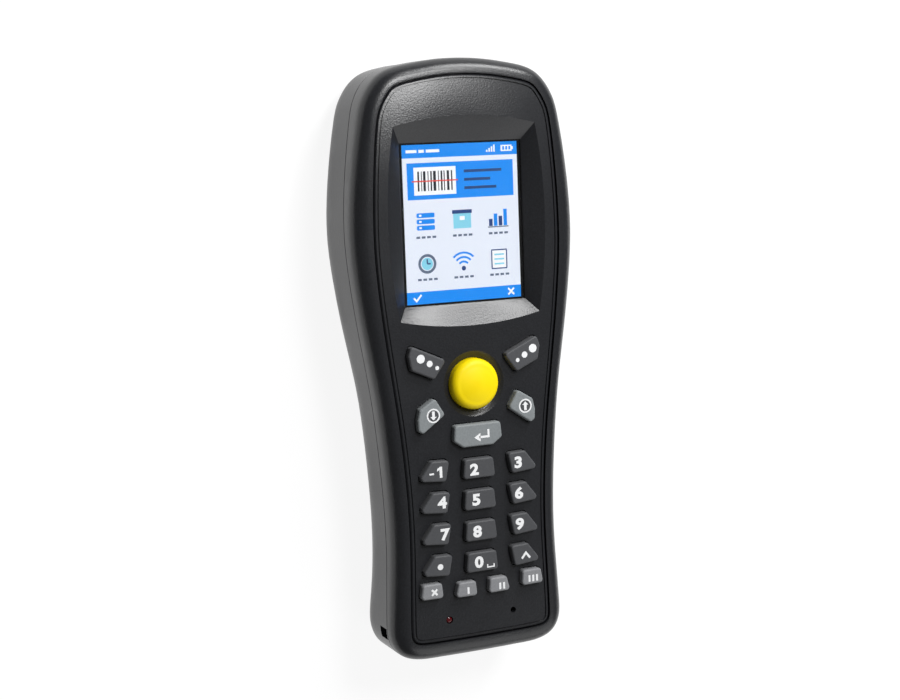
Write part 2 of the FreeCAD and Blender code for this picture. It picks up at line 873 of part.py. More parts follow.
def new_sketch(body, name, level="0", role="XY_Plane"):
    """A sketch on one of the body's own planes, raised to a level."""
    sketch = body.newObject("Sketcher::SketchObject", name)
    plane = next(item for item in body.Origin.OriginFeatures if item.Role == role)
    sketch.AttachmentSupport = (plane, [""])
    sketch.MapMode = "FlatFace"
    sketch.setExpression("AttachmentOffset.Base.z", level)
    return sketch


def bind(sketch, constraint, name, expression):
    index = sketch.addConstraint(constraint)
    sketch.renameConstraint(index, name)
    sketch.setExpression(f"Constraints.{name}", expression)


def draw_rectangle(sketch, name, width, length, x="0", y="0"):
    """A rectangle about a centre, with its sides bound to the sheet."""
    w, d = value(width), value(length)
    left, low = value(x) - w / 2, value(y) - d / 2
    corners = [
        Vector(left, low),
        Vector(left + w, low),
        Vector(left + w, low + d),
        Vector(left, low + d),
    ]
    first = len(sketch.Geometry)
    for index, corner in enumerate(corners):
        sketch.addGeometry(Part.LineSegment(corner, corners[(index + 1) % 4]))
    for index in range(4):
        after = first + (index + 1) % 4
        sketch.addConstraint(Sketcher.Constraint("Coincident", first + index, 2, after, 1))
    for index in (0, 2):
        sketch.addConstraint(Sketcher.Constraint("Horizontal", first + index))
        sketch.addConstraint(Sketcher.Constraint("Vertical", first + index + 1))
    bottom, right = first, first + 1
    bind(sketch, Sketcher.Constraint("DistanceX", bottom, 1, bottom, 2, w), f"{name}_width", width)
    bind(sketch, Sketcher.Constraint("DistanceY", right, 1, right, 2, d), f"{name}_length", length)
    left_from = f"({x}) - ({width}) / 2"
    low_from = f"({y}) - ({length}) / 2"
    bind(sketch, Sketcher.Constraint("DistanceX", -1, 1, bottom, 1, left), f"{name}_left", left_from)
    bind(sketch, Sketcher.Constraint("DistanceY", -1, 1, bottom, 1, low), f"{name}_low", low_from)


def draw_circle(sketch, name, radius, x="0", y="0"):
    centre = Vector(value(x), value(y))
    index = sketch.addGeometry(Part.Circle(centre, Vector(0, 0, 1), value(radius)))
    bind(sketch, Sketcher.Constraint("Radius", index, value(radius)), f"{name}_radius", radius)
    bind(sketch, Sketcher.Constraint("DistanceX", -1, 1, index, 3, centre.x), f"{name}_x", x)
    bind(sketch, Sketcher.Constraint("DistanceY", -1, 1, index, 3, centre.y), f"{name}_y", y)


def pad(body, sketch, length, name):
    feature = body.newObject("PartDesign::Pad", name)
    feature.Profile = sketch
    feature.setExpression("Length", length)
    doc.recompute()
    return feature


def make_sure_it_cut(body, before, name):
    doc.recompute()
    if before - body.Shape.Volume < SMALLEST_CUT:
        raise RuntimeError(f"{name} of {body.Label} cuts nothing")


def pocket(body, sketch, length, name, turned=False):
    """Cuts a sketch away against its plane's normal, or along it, and makes sure it has cut."""
    before = body.Shape.Volume
    feature = body.newObject("PartDesign::Pocket", name)
    feature.Profile = sketch
    feature.Reversed = turned
    feature.setExpression("Length", length)
    make_sure_it_cut(body, before, name)


def fillet(body, base, edges, radius, name):
    feature = body.newObject("PartDesign::Fillet", name)
    feature.Base = (base, edges)
    feature.setExpression("Radius", radius)
    doc.recompute()
    return feature


def chamfer(body, base, edges, width, name):
    feature = body.newObject("PartDesign::Chamfer", name)
    feature.Base = (base, edges)
    feature.setExpression("Size", width)
    doc.recompute()
    return feature


def edges_at(shape, height):
    """Names of the edges that lie flat at a height."""
    names = []
    for index, edge in enumerate(shape.Edges, start=1):
        bounds = edge.BoundBox
        if max(abs(bounds.ZMin - height), abs(bounds.ZMax - height)) < LEVEL_TOLERANCE:
            names.append(f"Edge{index}")
    return names


def upright_edges(shape):
    names = []
    for index, edge in enumerate(shape.Edges, start=1):
        if isinstance(edge.Curve, Part.Line) and abs(edge.tangentAt(edge.FirstParameter).z) > 0.9:
            names.append(f"Edge{index}")
    return names


def block(label, width, length, height, base, x="0", y="0", corner=None):
    """A sub-part that starts as a rectangular block, with rounded uprights if asked."""
    body = new_body(label)
    sketch = new_sketch(body, "outline", base)
    draw_rectangle(sketch, "outline", width, length, x, y)
    solid = pad(body, sketch, height, "block")
    if corner:
        fillet(body, solid, upright_edges(solid.Shape), corner, "corners")
    return body


def key_openings():
    """Outlines of the keys by name, each about its own place on the face."""
    pitch, row_y = size("key_pitch"), size("number_row")
    rows = (
        ("key_1", "key_2", "key_3"),
        ("key_4", "key_5", "key_6"),
        ("key_7", "key_8", "key_9"),
        ("key_dot", "key_0", "key_control"),
    )
    outlines = {}
    for index, (left, middle, right) in enumerate(rows):
        along = row_y - index * pitch
        outlines[right] = shift(SIDE_NUMBER_KEY, along)
        outlines[left] = mirror(outlines[right])
        outlines[middle] = shift(MIDDLE_NUMBER_KEY, along)
    outlines["key_enter"] = list(ENTER_KEY)
    outlines["key_up"] = list(ARROW_KEY)
    outlines["key_down"] = mirror(ARROW_KEY)
    outlines["dots_key_right"] = list(DOTS_KEY)
    outlines["dots_key_left"] = mirror(DOTS_KEY)
    outlines["function_key_1"] = mirror(OUTER_FUNCTION_KEY)
    outlines["function_key_2"] = mirror(INNER_FUNCTION_KEY)
    outlines["function_key_3"] = list(INNER_FUNCTION_KEY)
    outlines["function_key_4"] = list(OUTER_FUNCTION_KEY)
    return outlines


KEYS = key_openings()


def key_centre(points):
    """Centre of area of a key's outline, where its plunger stands."""
    area = sum_x = sum_y = 0.0
    for index, (x, y) in enumerate(points):
        before_x, before_y = points[index - 1]
        cross = before_x * y - x * before_y
        area += cross / 2
        sum_x += (before_x + x) * cross / 6
        sum_y += (before_y + y) * cross / 6
    return sum_x / area, sum_y / area


def key_part(label, points):
    """A key: a cap that stands through the panel, a flange under it and a plunger."""
    body = new_body(label)
    corner, width = size("key_corner"), size("flange_width")
    flange = new_sketch(body, "flange", FLANGE_BASE)
    flange.addGeometry(rounded(grow(points, width), corner + width))
    pad(body, flange, "Sizes.flange_thickness", "flange_pad")
    cap = new_sketch(body, "cap", FLANGE_TOP)
    cap.addGeometry(rounded(points, corner))
    solid = pad(body, cap, f"{KEY_TOP} - {FLANGE_TOP}", "cap_pad")
    fillet(body, solid, edges_at(solid.Shape, value(KEY_TOP)), "Sizes.key_edge", "cap_edge")
    x, y = key_centre(points)
    plunger = new_sketch(body, "plunger", PLUNGER_TIP)
    draw_circle(plunger, "plunger", "Sizes.plunger_radius", str(x), str(y))
    pad(body, plunger, f"{FLANGE_BASE} - {PLUNGER_TIP}", "plunger_pad")


for key_label, key_outline in KEYS.items():
    key_part(key_label, key_outline)


def scan_key():
    """The large domed key, turned about its own axis."""
    body = new_body("scan_key")
    radius, flange = size("scan_key_radius"), size("flange_width")
    plunger = size("plunger_radius")
    tip, base = value(PLUNGER_TIP), value(FLANGE_BASE)
    under, shoulder = value(FLANGE_TOP), size("overall_depth") + size("scan_key_shoulder")
    crest = shoulder + size("scan_key_dome")
    edge = size("key_edge")
    dome_radius = (radius**2 + (crest - shoulder) ** 2) / (2 * (crest - shoulder))
    middle_x = radius / 2
    middle_z = crest - dome_radius + math.sqrt(dome_radius**2 - middle_x**2)
    corners = [
        Vector(0, crest),
        Vector(0, tip),
        Vector(plunger, tip),
        Vector(plunger, base),
        Vector(radius + flange, base),
        Vector(radius + flange, under),
        Vector(radius, under),
        Vector(radius, shoulder),
    ]
    sketch = new_sketch(body, "profile", "0 - Sizes.scan_key_y", role="XZ_Plane")
    for start, end in zip(corners, corners[1:]):
        sketch.addGeometry(Part.LineSegment(start, end))
    sketch.addGeometry(Part.Arc(corners[-1], Vector(middle_x, middle_z), corners[0]))
    turned = body.newObject("PartDesign::Revolution", "turned")
    turned.Profile = sketch
    turned.ReferenceAxis = (sketch, ["V_Axis"])
    turned.Angle = 360
    doc.recompute()
    fillet(body, turned, edges_at(turned.Shape, shoulder), "Sizes.key_edge", "edge")


scan_key()


def recess_wire(corner_x_top, corner_y_top, crest, bulge, corner_x_low, corner_y_low, dip):
    """Four arcs or lines with corners between them, anticlockwise from the top right."""
    middle = (corner_y_top + corner_y_low) / 2
    right_top, right_low = Vector(corner_x_top, corner_y_top), Vector(corner_x_low, corner_y_low)
    left_top, left_low = Vector(-corner_x_top, corner_y_top), Vector(-corner_x_low, corner_y_low)
    sides = (
        (right_top, Vector(0, crest), left_top),
        (left_top, Vector(-bulge, middle), left_low),
        (left_low, Vector(0, dip), right_low),
        (right_low, Vector(bulge, middle), right_top),
    )
    return [Part.Arc(*side) for side in sides]


def recess_outline():
    names = ("corner_x_top", "corner_y_top", "crest", "bulge", "corner_x_low", "corner_y_low", "dip")
    return recess_wire(*[size(f"recess_{name}") for name in names])


def face_panel():
    """Inlaid front plate with the sloped screen recess, the key openings and the board posts."""
    body = new_body("face_panel")
    outline = new_sketch(body, "outline", PANEL_BASE)
    outline.addGeometry(closed_curves(inset_points(to_groove(size("panel_gap")))))
    plate = pad(body, outline, "Sizes.panel_thickness", "plate")
    chamfer(body, plate, edges_at(plate.Shape, size("overall_depth")), "Sizes.panel_edge", "edge")

    border = size("bezel_border")
    bezel = new_sketch(body, "bezel", RECESS_FLOOR)
    bezel.addGeometry(
        recess_wire(
            size("recess_corner_x_top") + border,
            size("recess_corner_y_top") + border,
            size("recess_crest") + border,
            size("recess_bulge") + border,
            size("recess_corner_x_low") + border,
            size("recess_corner_y_low") - border,
            size("recess_dip") - border,
        )
    )
    pad(body, bezel, f"{PANEL_BASE} - {RECESS_FLOOR}", "bezel_pad")

    posts = new_sketch(body, "posts", BOARD_TOP)
    for index, (x, y) in enumerate(board_posts()):
        draw_circle(posts, f"post_{index}", "Sizes.board_post_radius", str(x), str(y))
    pad(body, posts, f"{PANEL_BASE} - {BOARD_TOP}", "posts_pad")

    rim = new_sketch(body, "recess_rim", FACE)
    rim.addGeometry(recess_outline())
    floor = new_sketch(body, "recess_floor", RECESS_FLOOR)
    draw_rectangle(floor, "window", "Sizes.window_width", "Sizes.window_length", "0", "Sizes.screen_centre")
    before = body.Shape.Volume
    recess = body.newObject("PartDesign::SubtractiveLoft", "recess")
    recess.Profile = rim
    recess.Sections = [floor]
    recess.Ruled = True
    make_sure_it_cut(body, before, "recess")

    openings = new_sketch(body, "openings", FACE)
    gap = size("key_gap")
    for points in KEYS.values():
        openings.addGeometry(rounded(grow(points, gap), size("key_corner") + gap))
    draw_circle(openings, "scan_key", "Sizes.scan_key_radius + Sizes.key_gap", "0", "Sizes.scan_key_y")
    draw_circle(
        openings, "light", "Sizes.light_radius + Sizes.light_gap", "Sizes.light_x", "Sizes.light_y"
    )
    draw_circle(openings, "buzzer", "Sizes.buzzer_hole", "0 - Sizes.light_x", "Sizes.light_y")
    pocket(body, openings, f"Sizes.panel_thickness + {PAST}", "openings_cut")

    bead = new_sketch(body, "bead", FACE)
    start = size("panel_gap") + size("bead_inset")
    bead.addGeometry(closed_curves(inset_points(to_groove(start))))
    bead.addGeometry(closed_curves(inset_points(to_groove(start + size("bead_groove")))))
    pocket(body, bead, "Sizes.bead_depth", "bead_cut")

    dish = new_sketch(body, "dish", "0 - Sizes.scan_key_y", role="XZ_Plane")
    face, depth = size("overall_depth"), size("dish_depth")
    inner, outer = size("scan_key_radius") - size("dish_overlap"), size("dish_radius")
    slope = (outer - size("scan_key_radius") - gap) / depth
    low = Vector(inner, face - depth - (size("scan_key_radius") + gap - inner) / slope)
    corners = [Vector(outer, face), Vector(inner, face), low]
    for index, corner in enumerate(corners):
        dish.addGeometry(Part.LineSegment(corner, corners[(index + 1) % 3]))
    before = body.Shape.Volume
    groove = body.newObject("PartDesign::Groove", "dish_cut")
    groove.Profile = dish
    groove.ReferenceAxis = (dish, ["V_Axis"])
    groove.Angle = 360
    make_sure_it_cut(body, before, "dish_cut")

    pilots = new_sketch(body, "pilots", BOARD_TOP)
    for index, (x, y) in enumerate(board_posts()):
        radius = "Sizes.board_screw_shank + Sizes.thread_clearance"
        draw_circle(pilots, f"pilot_{index}", radius, str(x), str(y))
    reach = "Sizes.board_screw_length - Sizes.board_thickness + Sizes.boss_gap"
    pocket(body, pilots, reach, "pilots_cut", turned=True)


face_panel()


def keypad_mat():
    """Silicone sheet on the board with a well round each plunger."""
    body = block(
        "keypad_mat",
        "Sizes.mat_width",
        "Sizes.mat_top_y - Sizes.mat_low_y",
        "Sizes.mat_thickness",
        BOARD_TOP,
        y="(Sizes.mat_top_y + Sizes.mat_low_y) / 2",
        corner="Sizes.board_corner",
    )
    wells = new_sketch(body, "wells", f"{BOARD_TOP} + Sizes.mat_thickness")
    places = [key_centre(points) for points in KEYS.values()] + [(0.0, size("scan_key_y"))]
    for index, (x, y) in enumerate(places):
        draw_circle(wells, f"well_{index}", "Sizes.plunger_radius + Sizes.well_gap", str(x), str(y))
    pocket(body, wells, "Sizes.mat_thickness", "wells_cut")


def main_board():
    """Circuit board with a narrow tail over the socket, and holes for its screws."""
    body = block(
        "main_board",
        "Sizes.board_width",
        "Sizes.board_top_y - Sizes.board_low_y",
        "Sizes.board_thickness",
        BOARD_BASE,
        y="(Sizes.board_top_y + Sizes.board_low_y) / 2",
        corner="Sizes.board_corner",
    )
    tail = new_sketch(body, "tail", BOARD_BASE)
    lap = "(Sizes.board_low_y + 2 * Sizes.board_corner)"
    draw_rectangle(
        tail,
        "tail",
        "Sizes.tail_width",
        f"{lap} - Sizes.tail_low_y",
        y=f"({lap} + Sizes.tail_low_y) / 2",
    )
    pad(body, tail, "Sizes.board_thickness", "tail_pad")
    holes = new_sketch(body, "holes", BOARD_TOP)
    for index, (x, y) in enumerate(board_posts()):
        radius = "Sizes.board_screw_shank + Sizes.screw_clearance"
        draw_circle(holes, f"hole_{index}", radius, str(x), str(y))
    pocket(body, holes, "Sizes.board_thickness", "holes_cut")


keypad_mat()
main_board()


def display_parts():
    """Pane, foam, glass and tray of the display, stacked under the recess."""
    pane_width = "(Sizes.window_width + 2 * Sizes.pane_border)"
    pane_length = "(Sizes.window_length + 2 * Sizes.pane_border)"
    glass_width = "(Sizes.lit_width + 2 * Sizes.glass_border)"
    glass_length = "(Sizes.lit_length + 2 * Sizes.glass_border)"
    tray_width = f"({glass_width} + 2 * Sizes.tray_border)"
    tray_length = f"({glass_length} + 2 * Sizes.tray_border)"
    hole_width = f"{glass_width} + 2 * Sizes.tray_clearance"
    hole_length = f"{glass_length} + 2 * Sizes.tray_clearance"
    centre = "Sizes.screen_centre"

    block(
        "display_window", pane_width, pane_length, "Sizes.pane_thickness", PANE_BASE,
        y=centre, corner="Sizes.board_corner",
    )

    gasket = block(
        "lcd_gasket", tray_width, tray_length, "Sizes.gasket_thickness", TRAY_TOP, y=centre
    )
    opening = new_sketch(gasket, "opening", PANE_BASE)
    draw_rectangle(opening, "opening", hole_width, hole_length, y=centre)
    pocket(gasket, opening, "Sizes.gasket_thickness", "opening_cut")

    glass_base = f"({GLASS_TOP} - Sizes.glass_thickness)"
    block("lcd_panel", glass_width, glass_length, "Sizes.glass_thickness", glass_base, y=centre)

    tray = block("lcd_frame", tray_width, tray_length, f"{TRAY_TOP} - {BOARD_TOP}", BOARD_TOP, y=centre)
    bed = new_sketch(tray, "bed", TRAY_TOP)
    draw_rectangle(bed, "bed", hole_width, hole_length, y=centre)
    pocket(tray, bed, f"{TRAY_TOP} - {glass_base}", "bed_cut")


display_parts()


def board_components():
    """Shield, memory, radio and aerial soldered under the board."""
    shield = block(
        "processor_shield", "Sizes.shield_width", "Sizes.shield_length", "Sizes.shield_height",
        f"{BOARD_BASE} - Sizes.shield_height", y="Sizes.shield_y", corner="Sizes.board_corner",
    )
    inside = new_sketch(shield, "inside", BOARD_BASE)
    draw_rectangle(
        inside,
        "inside",
        "Sizes.shield_width - 2 * Sizes.shield_sheet",
        "Sizes.shield_length - 2 * Sizes.shield_sheet",
        y="Sizes.shield_y",
    )
    pocket(shield, inside, "Sizes.shield_height - Sizes.shield_sheet", "inside_cut")
    for label, part in (
        ("memory_chip", "memory"),
        ("radio_module", "radio"),
        ("radio_antenna", "antenna"),
    ):
        block(
            label,
            f"Sizes.{part}_width",
            f"Sizes.{part}_length",
            f"Sizes.{part}_height",
            f"{BOARD_BASE} - Sizes.{part}_height",
            y=f"Sizes.{part}_y",
        )


def usb_port():
    """Sheet-metal socket with its tongue, under the board's tail."""
    front = f"({FOOT} + Sizes.port_setback)"
    middle = f"({front} + Sizes.port_length / 2)"
    body = block(
        "usb_port", "Sizes.port_width", "Sizes.port_length", "Sizes.port_height",
        f"{BOARD_BASE} - Sizes.port_height", y=middle,
    )
    mouth = new_sketch(body, "mouth", f"0 - {front}", role="XZ_Plane")
    height = "Sizes.port_height - 2 * Sizes.port_sheet"
    width = "Sizes.port_width - 2 * Sizes.port_sheet"
    axis = f"{BOARD_BASE} - Sizes.port_height / 2"
    draw_rectangle(mouth, "mouth", width, height, y=axis)
    pocket(body, mouth, "Sizes.port_depth", "mouth_cut")
    tongue = new_sketch(body, "tongue", f"0 - {front} - Sizes.port_depth", role="XZ_Plane")
    draw_rectangle(tongue, "tongue", "Sizes.port_tongue_width", "Sizes.port_tongue_height", y=axis)
    pad(body, tongue, "Sizes.port_depth - Sizes.port_tongue_setback", "tongue_pad")


board_components()
usb_port()


def indicator_light():
    """Light with a round base on the board and a domed tip in the panel's hole."""
    body = new_body("indicator_led")
    base = new_sketch(body, "base", BOARD_TOP)
    draw_circle(base, "base", "Sizes.light_base_radius", "Sizes.light_x", "Sizes.light_y")
    pad(body, base, "Sizes.light_base_height", "base_pad")
    tip = new_sketch(body, "tip", f"{BOARD_TOP} + Sizes.light_base_height")
    draw_circle(tip, "tip", "Sizes.light_radius", "Sizes.light_x", "Sizes.light_y")
    reach = f"{FACE} - Sizes.light_sink - {BOARD_TOP} - Sizes.light_base_height"
    solid = pad(body, tip, reach, "tip_pad")
    top = size("overall_depth") - size("light_sink")
    fillet(body, solid, edges_at(solid.Shape, top), "Sizes.light_round", "tip_round")


def buzzer():
    body = new_body("buzzer")
    can = new_sketch(body, "can", BOARD_TOP)
    draw_circle(can, "can", "Sizes.buzzer_radius", "0 - Sizes.light_x", "Sizes.light_y")
    pad(body, can, "Sizes.buzzer_height", "can_pad")
    throat = new_sketch(body, "throat", f"{BOARD_TOP} + Sizes.buzzer_height")
    draw_circle(throat, "throat", "Sizes.buzzer_throat", "0 - Sizes.light_x", "Sizes.light_y")
    pocket(body, throat, "Sizes.buzzer_height - Sizes.buzzer_floor", "throat_cut")


indicator_light()
buzzer()


def battery_parts():
    """Battery pack and the sprung contacts that stand at the end of its bay."""
    block(
        "battery", "Sizes.battery_width", "Sizes.battery_length", "Sizes.battery_height",
        "Sizes.battery_level", y="Sizes.battery_y", corner="Sizes.battery_corner",
    )
    block_y = f"({BAY_END} - Sizes.contact_depth / 2)"
    contacts = block(
        "battery_contacts", "Sizes.contact_width", "Sizes.contact_depth", "Sizes.contact_height",
        "Sizes.contact_level", y=block_y,
    )
    blades = new_sketch(contacts, "blades", "Sizes.contact_level + Sizes.contact_blade / 2")
    blade_y = f"{BAY_END} - Sizes.contact_depth - Sizes.contact_reach / 2"
    for index in (-1, 0, 1):
        draw_rectangle(
            blades,
            f"blade_{'abc'[index + 1]}",
            "Sizes.contact_blade",
            "Sizes.contact_reach",
            f"{index} * Sizes.contact_pitch",
            blade_y,
        )
    pad(contacts, blades, "Sizes.contact_height - Sizes.contact_blade", "blades_pad")


battery_parts()


def scan_engine():
    """Reading engine with its round eye between two lamps."""
    middle = f"({ENGINE_FACE} - Sizes.engine_length / 2)"
    body = block(
        "scan_engine", "Sizes.engine_width", "Sizes.engine_length", "Sizes.engine_height",
        ENGINE_BASE, y=middle, corner="Sizes.engine_corner",
    )
    eye = new_sketch(body, "eye", f"0 - {ENGINE_FACE}", role="XZ_Plane")
    axis = f"{ENGINE_BASE} + Sizes.engine_height / 2"
    draw_circle(eye, "eye", "Sizes.engine_eye_radius", y=axis)
    raised = pad(body, eye, "Sizes.engine_eye_reach", "eye_pad")
    raised.Reversed = True
    doc.recompute()
    lamps = new_sketch(body, "lamps", f"0 - {ENGINE_FACE}", role="XZ_Plane")
    draw_circle(lamps, "left", "Sizes.engine_lamp_radius", "0 - Sizes.engine_lamp_x", axis)
    draw_circle(lamps, "right", "Sizes.engine_lamp_radius", "Sizes.engine_lamp_x", axis)
    pocket(body, lamps, "Sizes.engine_eye_reach", "lamps_cut", turned=True)


def engine_bracket():
    """Folded sheet under the engine, with two cheeks beside it and two ears for screws."""
    half = "(Sizes.engine_width / 2 + Sizes.bracket_fit + Sizes.bracket_thickness)"
    middle = f"({ENGINE_FACE} - Sizes.engine_length / 2)"
    body = block(
        "engine_bracket",
        f"2 * ({half} + Sizes.bracket_ear)",
        "Sizes.bracket_length",
        "Sizes.bracket_thickness",
        BRACKET_SEAT,
        y=middle,
        corner="Sizes.bracket_thickness",
    )
    cheeks = new_sketch(body, "cheeks", ENGINE_BASE)
    for name, side in (("left", "0 - "), ("right", "")):
        place = f"{side}({half} - Sizes.bracket_thickness / 2)"
        draw_rectangle(cheeks, name, "Sizes.bracket_thickness", "Sizes.bracket_length", place, middle)
    pad(body, cheeks, "Sizes.bracket_cheek", "cheeks_pad")
    holes = new_sketch(body, "holes", ENGINE_BASE)
    radius = "Sizes.bracket_screw_shank + Sizes.screw_clearance"
    for name, side in (("left", "0 - "), ("right", "")):
        draw_circle(holes, name, radius, f"{side}({half} + Sizes.bracket_ear / 2)", middle)
    pocket(body, holes, "Sizes.bracket_thickness", "holes_cut")


def bracket_screws():
    """Screws driven down through the bracket's ears."""
    seat = value(ENGINE_BASE)
    places = [(-bracket_screw_x(), bracket_centre()), (bracket_screw_x(), bracket_centre())]
    group = screws(
        places,
        size("bracket_screw_head"),
        size("bracket_screw_head_height"),
        size("bracket_screw_shank"),
        size("bracket_screw_length"),
        seat,
    )
    return group.mirror(Vector(0, 0, seat), Vector(0, 0, 1))


def scan_window():
    """Clear pane that slides down into the slot behind the reading end."""
    width = "Sizes.scan_window_width + 2 * Sizes.scan_pane_lap"
    height = "Sizes.scan_window_high - Sizes.scan_window_low + 2 * Sizes.scan_pane_lap"
    block(
        "scan_window", width, "Sizes.scan_pane_thickness", height,
        "Sizes.scan_window_low - Sizes.scan_pane_lap",
        y=f"{PANE_FACE} - Sizes.scan_pane_thickness / 2",
    )


scan_engine()
engine_bracket()
add_shape("bracket_screws", bracket_screws())
scan_window()


def check_parts():
    doc.recompute()
    for item in doc.Objects:
        if "Invalid" in item.State or "Error" in item.State:
            raise RuntimeError(f"{item.Label} is in state {item.State}")
    for part in finished:
        if part.Shape.isNull() or not part.Shape.isValid():
            raise RuntimeError(f"{part.Label} has no valid shape")


def write_parts():
    os.makedirs("parts", exist_ok=True)
    for part in finished:
        part.Shape.exportStep(os.path.join("parts", f"{part.Label}.step"))


check_parts()
write_parts()
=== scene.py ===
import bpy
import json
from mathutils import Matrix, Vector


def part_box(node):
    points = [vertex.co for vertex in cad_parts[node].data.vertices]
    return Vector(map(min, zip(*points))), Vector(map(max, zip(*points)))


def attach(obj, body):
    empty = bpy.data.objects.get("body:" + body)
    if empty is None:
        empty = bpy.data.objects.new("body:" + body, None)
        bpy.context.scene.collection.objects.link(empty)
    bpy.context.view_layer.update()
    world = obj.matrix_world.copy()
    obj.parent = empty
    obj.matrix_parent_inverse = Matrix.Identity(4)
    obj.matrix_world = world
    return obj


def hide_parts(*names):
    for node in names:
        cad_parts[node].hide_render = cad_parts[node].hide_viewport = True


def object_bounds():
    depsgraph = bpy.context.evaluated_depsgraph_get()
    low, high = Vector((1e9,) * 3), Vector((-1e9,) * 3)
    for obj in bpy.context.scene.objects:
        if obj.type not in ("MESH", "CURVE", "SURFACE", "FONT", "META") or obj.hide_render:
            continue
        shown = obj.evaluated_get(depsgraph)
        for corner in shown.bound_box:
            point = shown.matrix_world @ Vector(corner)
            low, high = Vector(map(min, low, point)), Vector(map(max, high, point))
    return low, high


bl_info = {
    "name": "Data terminal finish",
    "version": (1, 0, 0),
    "blender": (4, 5, 0),
    "location": "View3D > Sidebar > Terminal",
    "description": "Dresses the packed data terminal: finishes, key legends, screen and studio",
    "category": "Object",
}

import json
import math

import bmesh
import bpy
from mathutils import Matrix, Vector

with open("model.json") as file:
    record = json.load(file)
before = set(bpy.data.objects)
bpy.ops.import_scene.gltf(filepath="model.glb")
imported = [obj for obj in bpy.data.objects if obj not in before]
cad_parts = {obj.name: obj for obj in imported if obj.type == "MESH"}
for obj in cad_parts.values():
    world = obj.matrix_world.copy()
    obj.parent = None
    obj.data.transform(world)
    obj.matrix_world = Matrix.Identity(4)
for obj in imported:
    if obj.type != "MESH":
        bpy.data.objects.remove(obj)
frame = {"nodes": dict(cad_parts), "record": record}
CAD_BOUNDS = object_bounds()
NODES = frame["nodes"]
MM = 0.001

# Which nodes are moulded, pressed or printed in the same way
NUMBER_KEYS = [f"key_{name}" for name in (*range(10), "dot", "control")]
GREY_KEYS = ["key_enter", "key_up", "key_down"]
DOTS_KEYS = ["dots_key_left", "dots_key_right"]
FUNCTION_KEYS = [f"function_key_{number}" for number in (1, 2, 3, 4)]
KEY_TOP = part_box("key_5")[1].z
GLASS_LOW, GLASS_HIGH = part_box("lcd_panel")
SLOT_OF = {part["node"]: part["material_slot"] for part in frame["record"]["subparts"]}


def middle(node):
    low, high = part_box(node)
    return (low + high) / 2


def linear(code):
    """An sRGB hex colour as the linear RGBA that shaders take."""
    channels = [int(code[index : index + 2], 16) / 255 for index in (1, 3, 5)]
    mixed = [c / 12.92 if c <= 0.04045 else ((c + 0.055) / 1.055) ** 2.4 for c in channels]
    return (*mixed, 1.0)


def colour(title, code, words):
    """A colour that the sidebar offers, with its default as a hex code."""
    return bpy.props.FloatVectorProperty(
        name=title, description=words, subtype="COLOR", size=4, min=0, max=1, default=linear(code)
    )


def length(title, millimetres, words):
    return bpy.props.FloatProperty(
        name=title, description=words, unit="LENGTH", subtype="DISTANCE", default=millimetres * MM
    )


class TerminalColours(bpy.types.PropertyGroup):
    """Colours of the housing and its keys."""

    front: colour("Front shell", "#212225", "Black of the front shell and the face panel")
    back: colour("Rear shell", "#28292C", "Black of the rear shell and the battery door")
    scan_key: colour("Scan key", "#FFE100", "Yellow of the large key")
    number_keys: colour("Number keys", "#4A4B4E", "Dark grey of the number keys")
    grey_keys: colour("Enter and arrows", "#84898B", "Grey of the enter and arrow keys")
    function_keys: colour("Function keys", "#88898C", "Light grey of the bottom row")
    legend: colour("Legends", "#F6F7F8", "White of the ink on the keys")
    screen: colour("Screen", "#E6EDFA", "Pale ground of the picture on the display")
    accent: colour("Accent", "#068CF4", "Blue of the bars and tiles on the display")


class TerminalSizes(bpy.types.PropertyGroup):
    """Sizes of what is printed on the keys and shown on the display."""

    digit_height: length("Digit height", 3.1, "Height of the figures on the number keys")
    digit_weight: length("Digit weight", 0.2, "How far each figure's strokes are widened")
    ink_height: length("Ink height", 0.02, "How far the printed ink stands above a key")
    lit_width: length("Lit width", 34.85, "Width of the display's lit area")
    lit_length: length("Lit length", 43.56, "Length of the display's lit area")
    grain: length("Mould grain", 0.45, "Size of the pits in the spark-eroded mould")
    crown: length("Forehead roll", 2.6, "How far the forehead's shading rolls back at the top")


# Materials


def add_node(tree, kind, inputs=None, **settings):
    """Adds a node with its settings, and fills or links its inputs."""
    added = tree.nodes.new(kind)
    for name, value in settings.items():
        setattr(added, name, value)
    for name, value in (inputs or {}).items():
        if isinstance(value, bpy.types.NodeSocket):
            tree.links.new(value, added.inputs[name])
        else:
            added.inputs[name].default_value = value
    return added


def new_material(name, **sockets):
    """A material with one Principled shader, whose even values are set on its own sockets."""
    material = bpy.data.materials.new(name)
    material.use_nodes = True
    shader = material.node_tree.nodes["Principled BSDF"]
    for socket, value in sockets.items():
        shader.inputs[socket.replace("_", " ")].default_value = value
    return material, material.node_tree, shader


def place(tree):
    """Position on the object in metres, which no view changes."""
    return add_node(tree, "ShaderNodeTexCoord").outputs["Object"]


def noise(tree, size_mm, detail=2.0, roughness=0.5):
    """Noise whose blotches are about the given size."""
    inputs = {"Vector": place(tree), "Scale": 1 / (size_mm * MM), "Detail": detail}
    inputs["Roughness"] = roughness
    return add_node(tree, "ShaderNodeTexNoise", inputs).outputs["Fac"]


# Noise seldom leaves this range, and two colours blend over the narrower one
NOISE_LOW, NOISE_HIGH = 0.3, 0.7
BLEND_LOW, BLEND_HIGH = 0.35, 0.65


def spread(tree, factor, low, high):
    """Turns a 0 to 1 pattern into a range of values."""
    inputs = {"Value": factor, "From Min": NOISE_LOW, "From Max": NOISE_HIGH}
    inputs.update({"To Min": low, "To Max": high})
    return add_node(tree, "ShaderNodeMapRange", inputs).outputs["Result"]


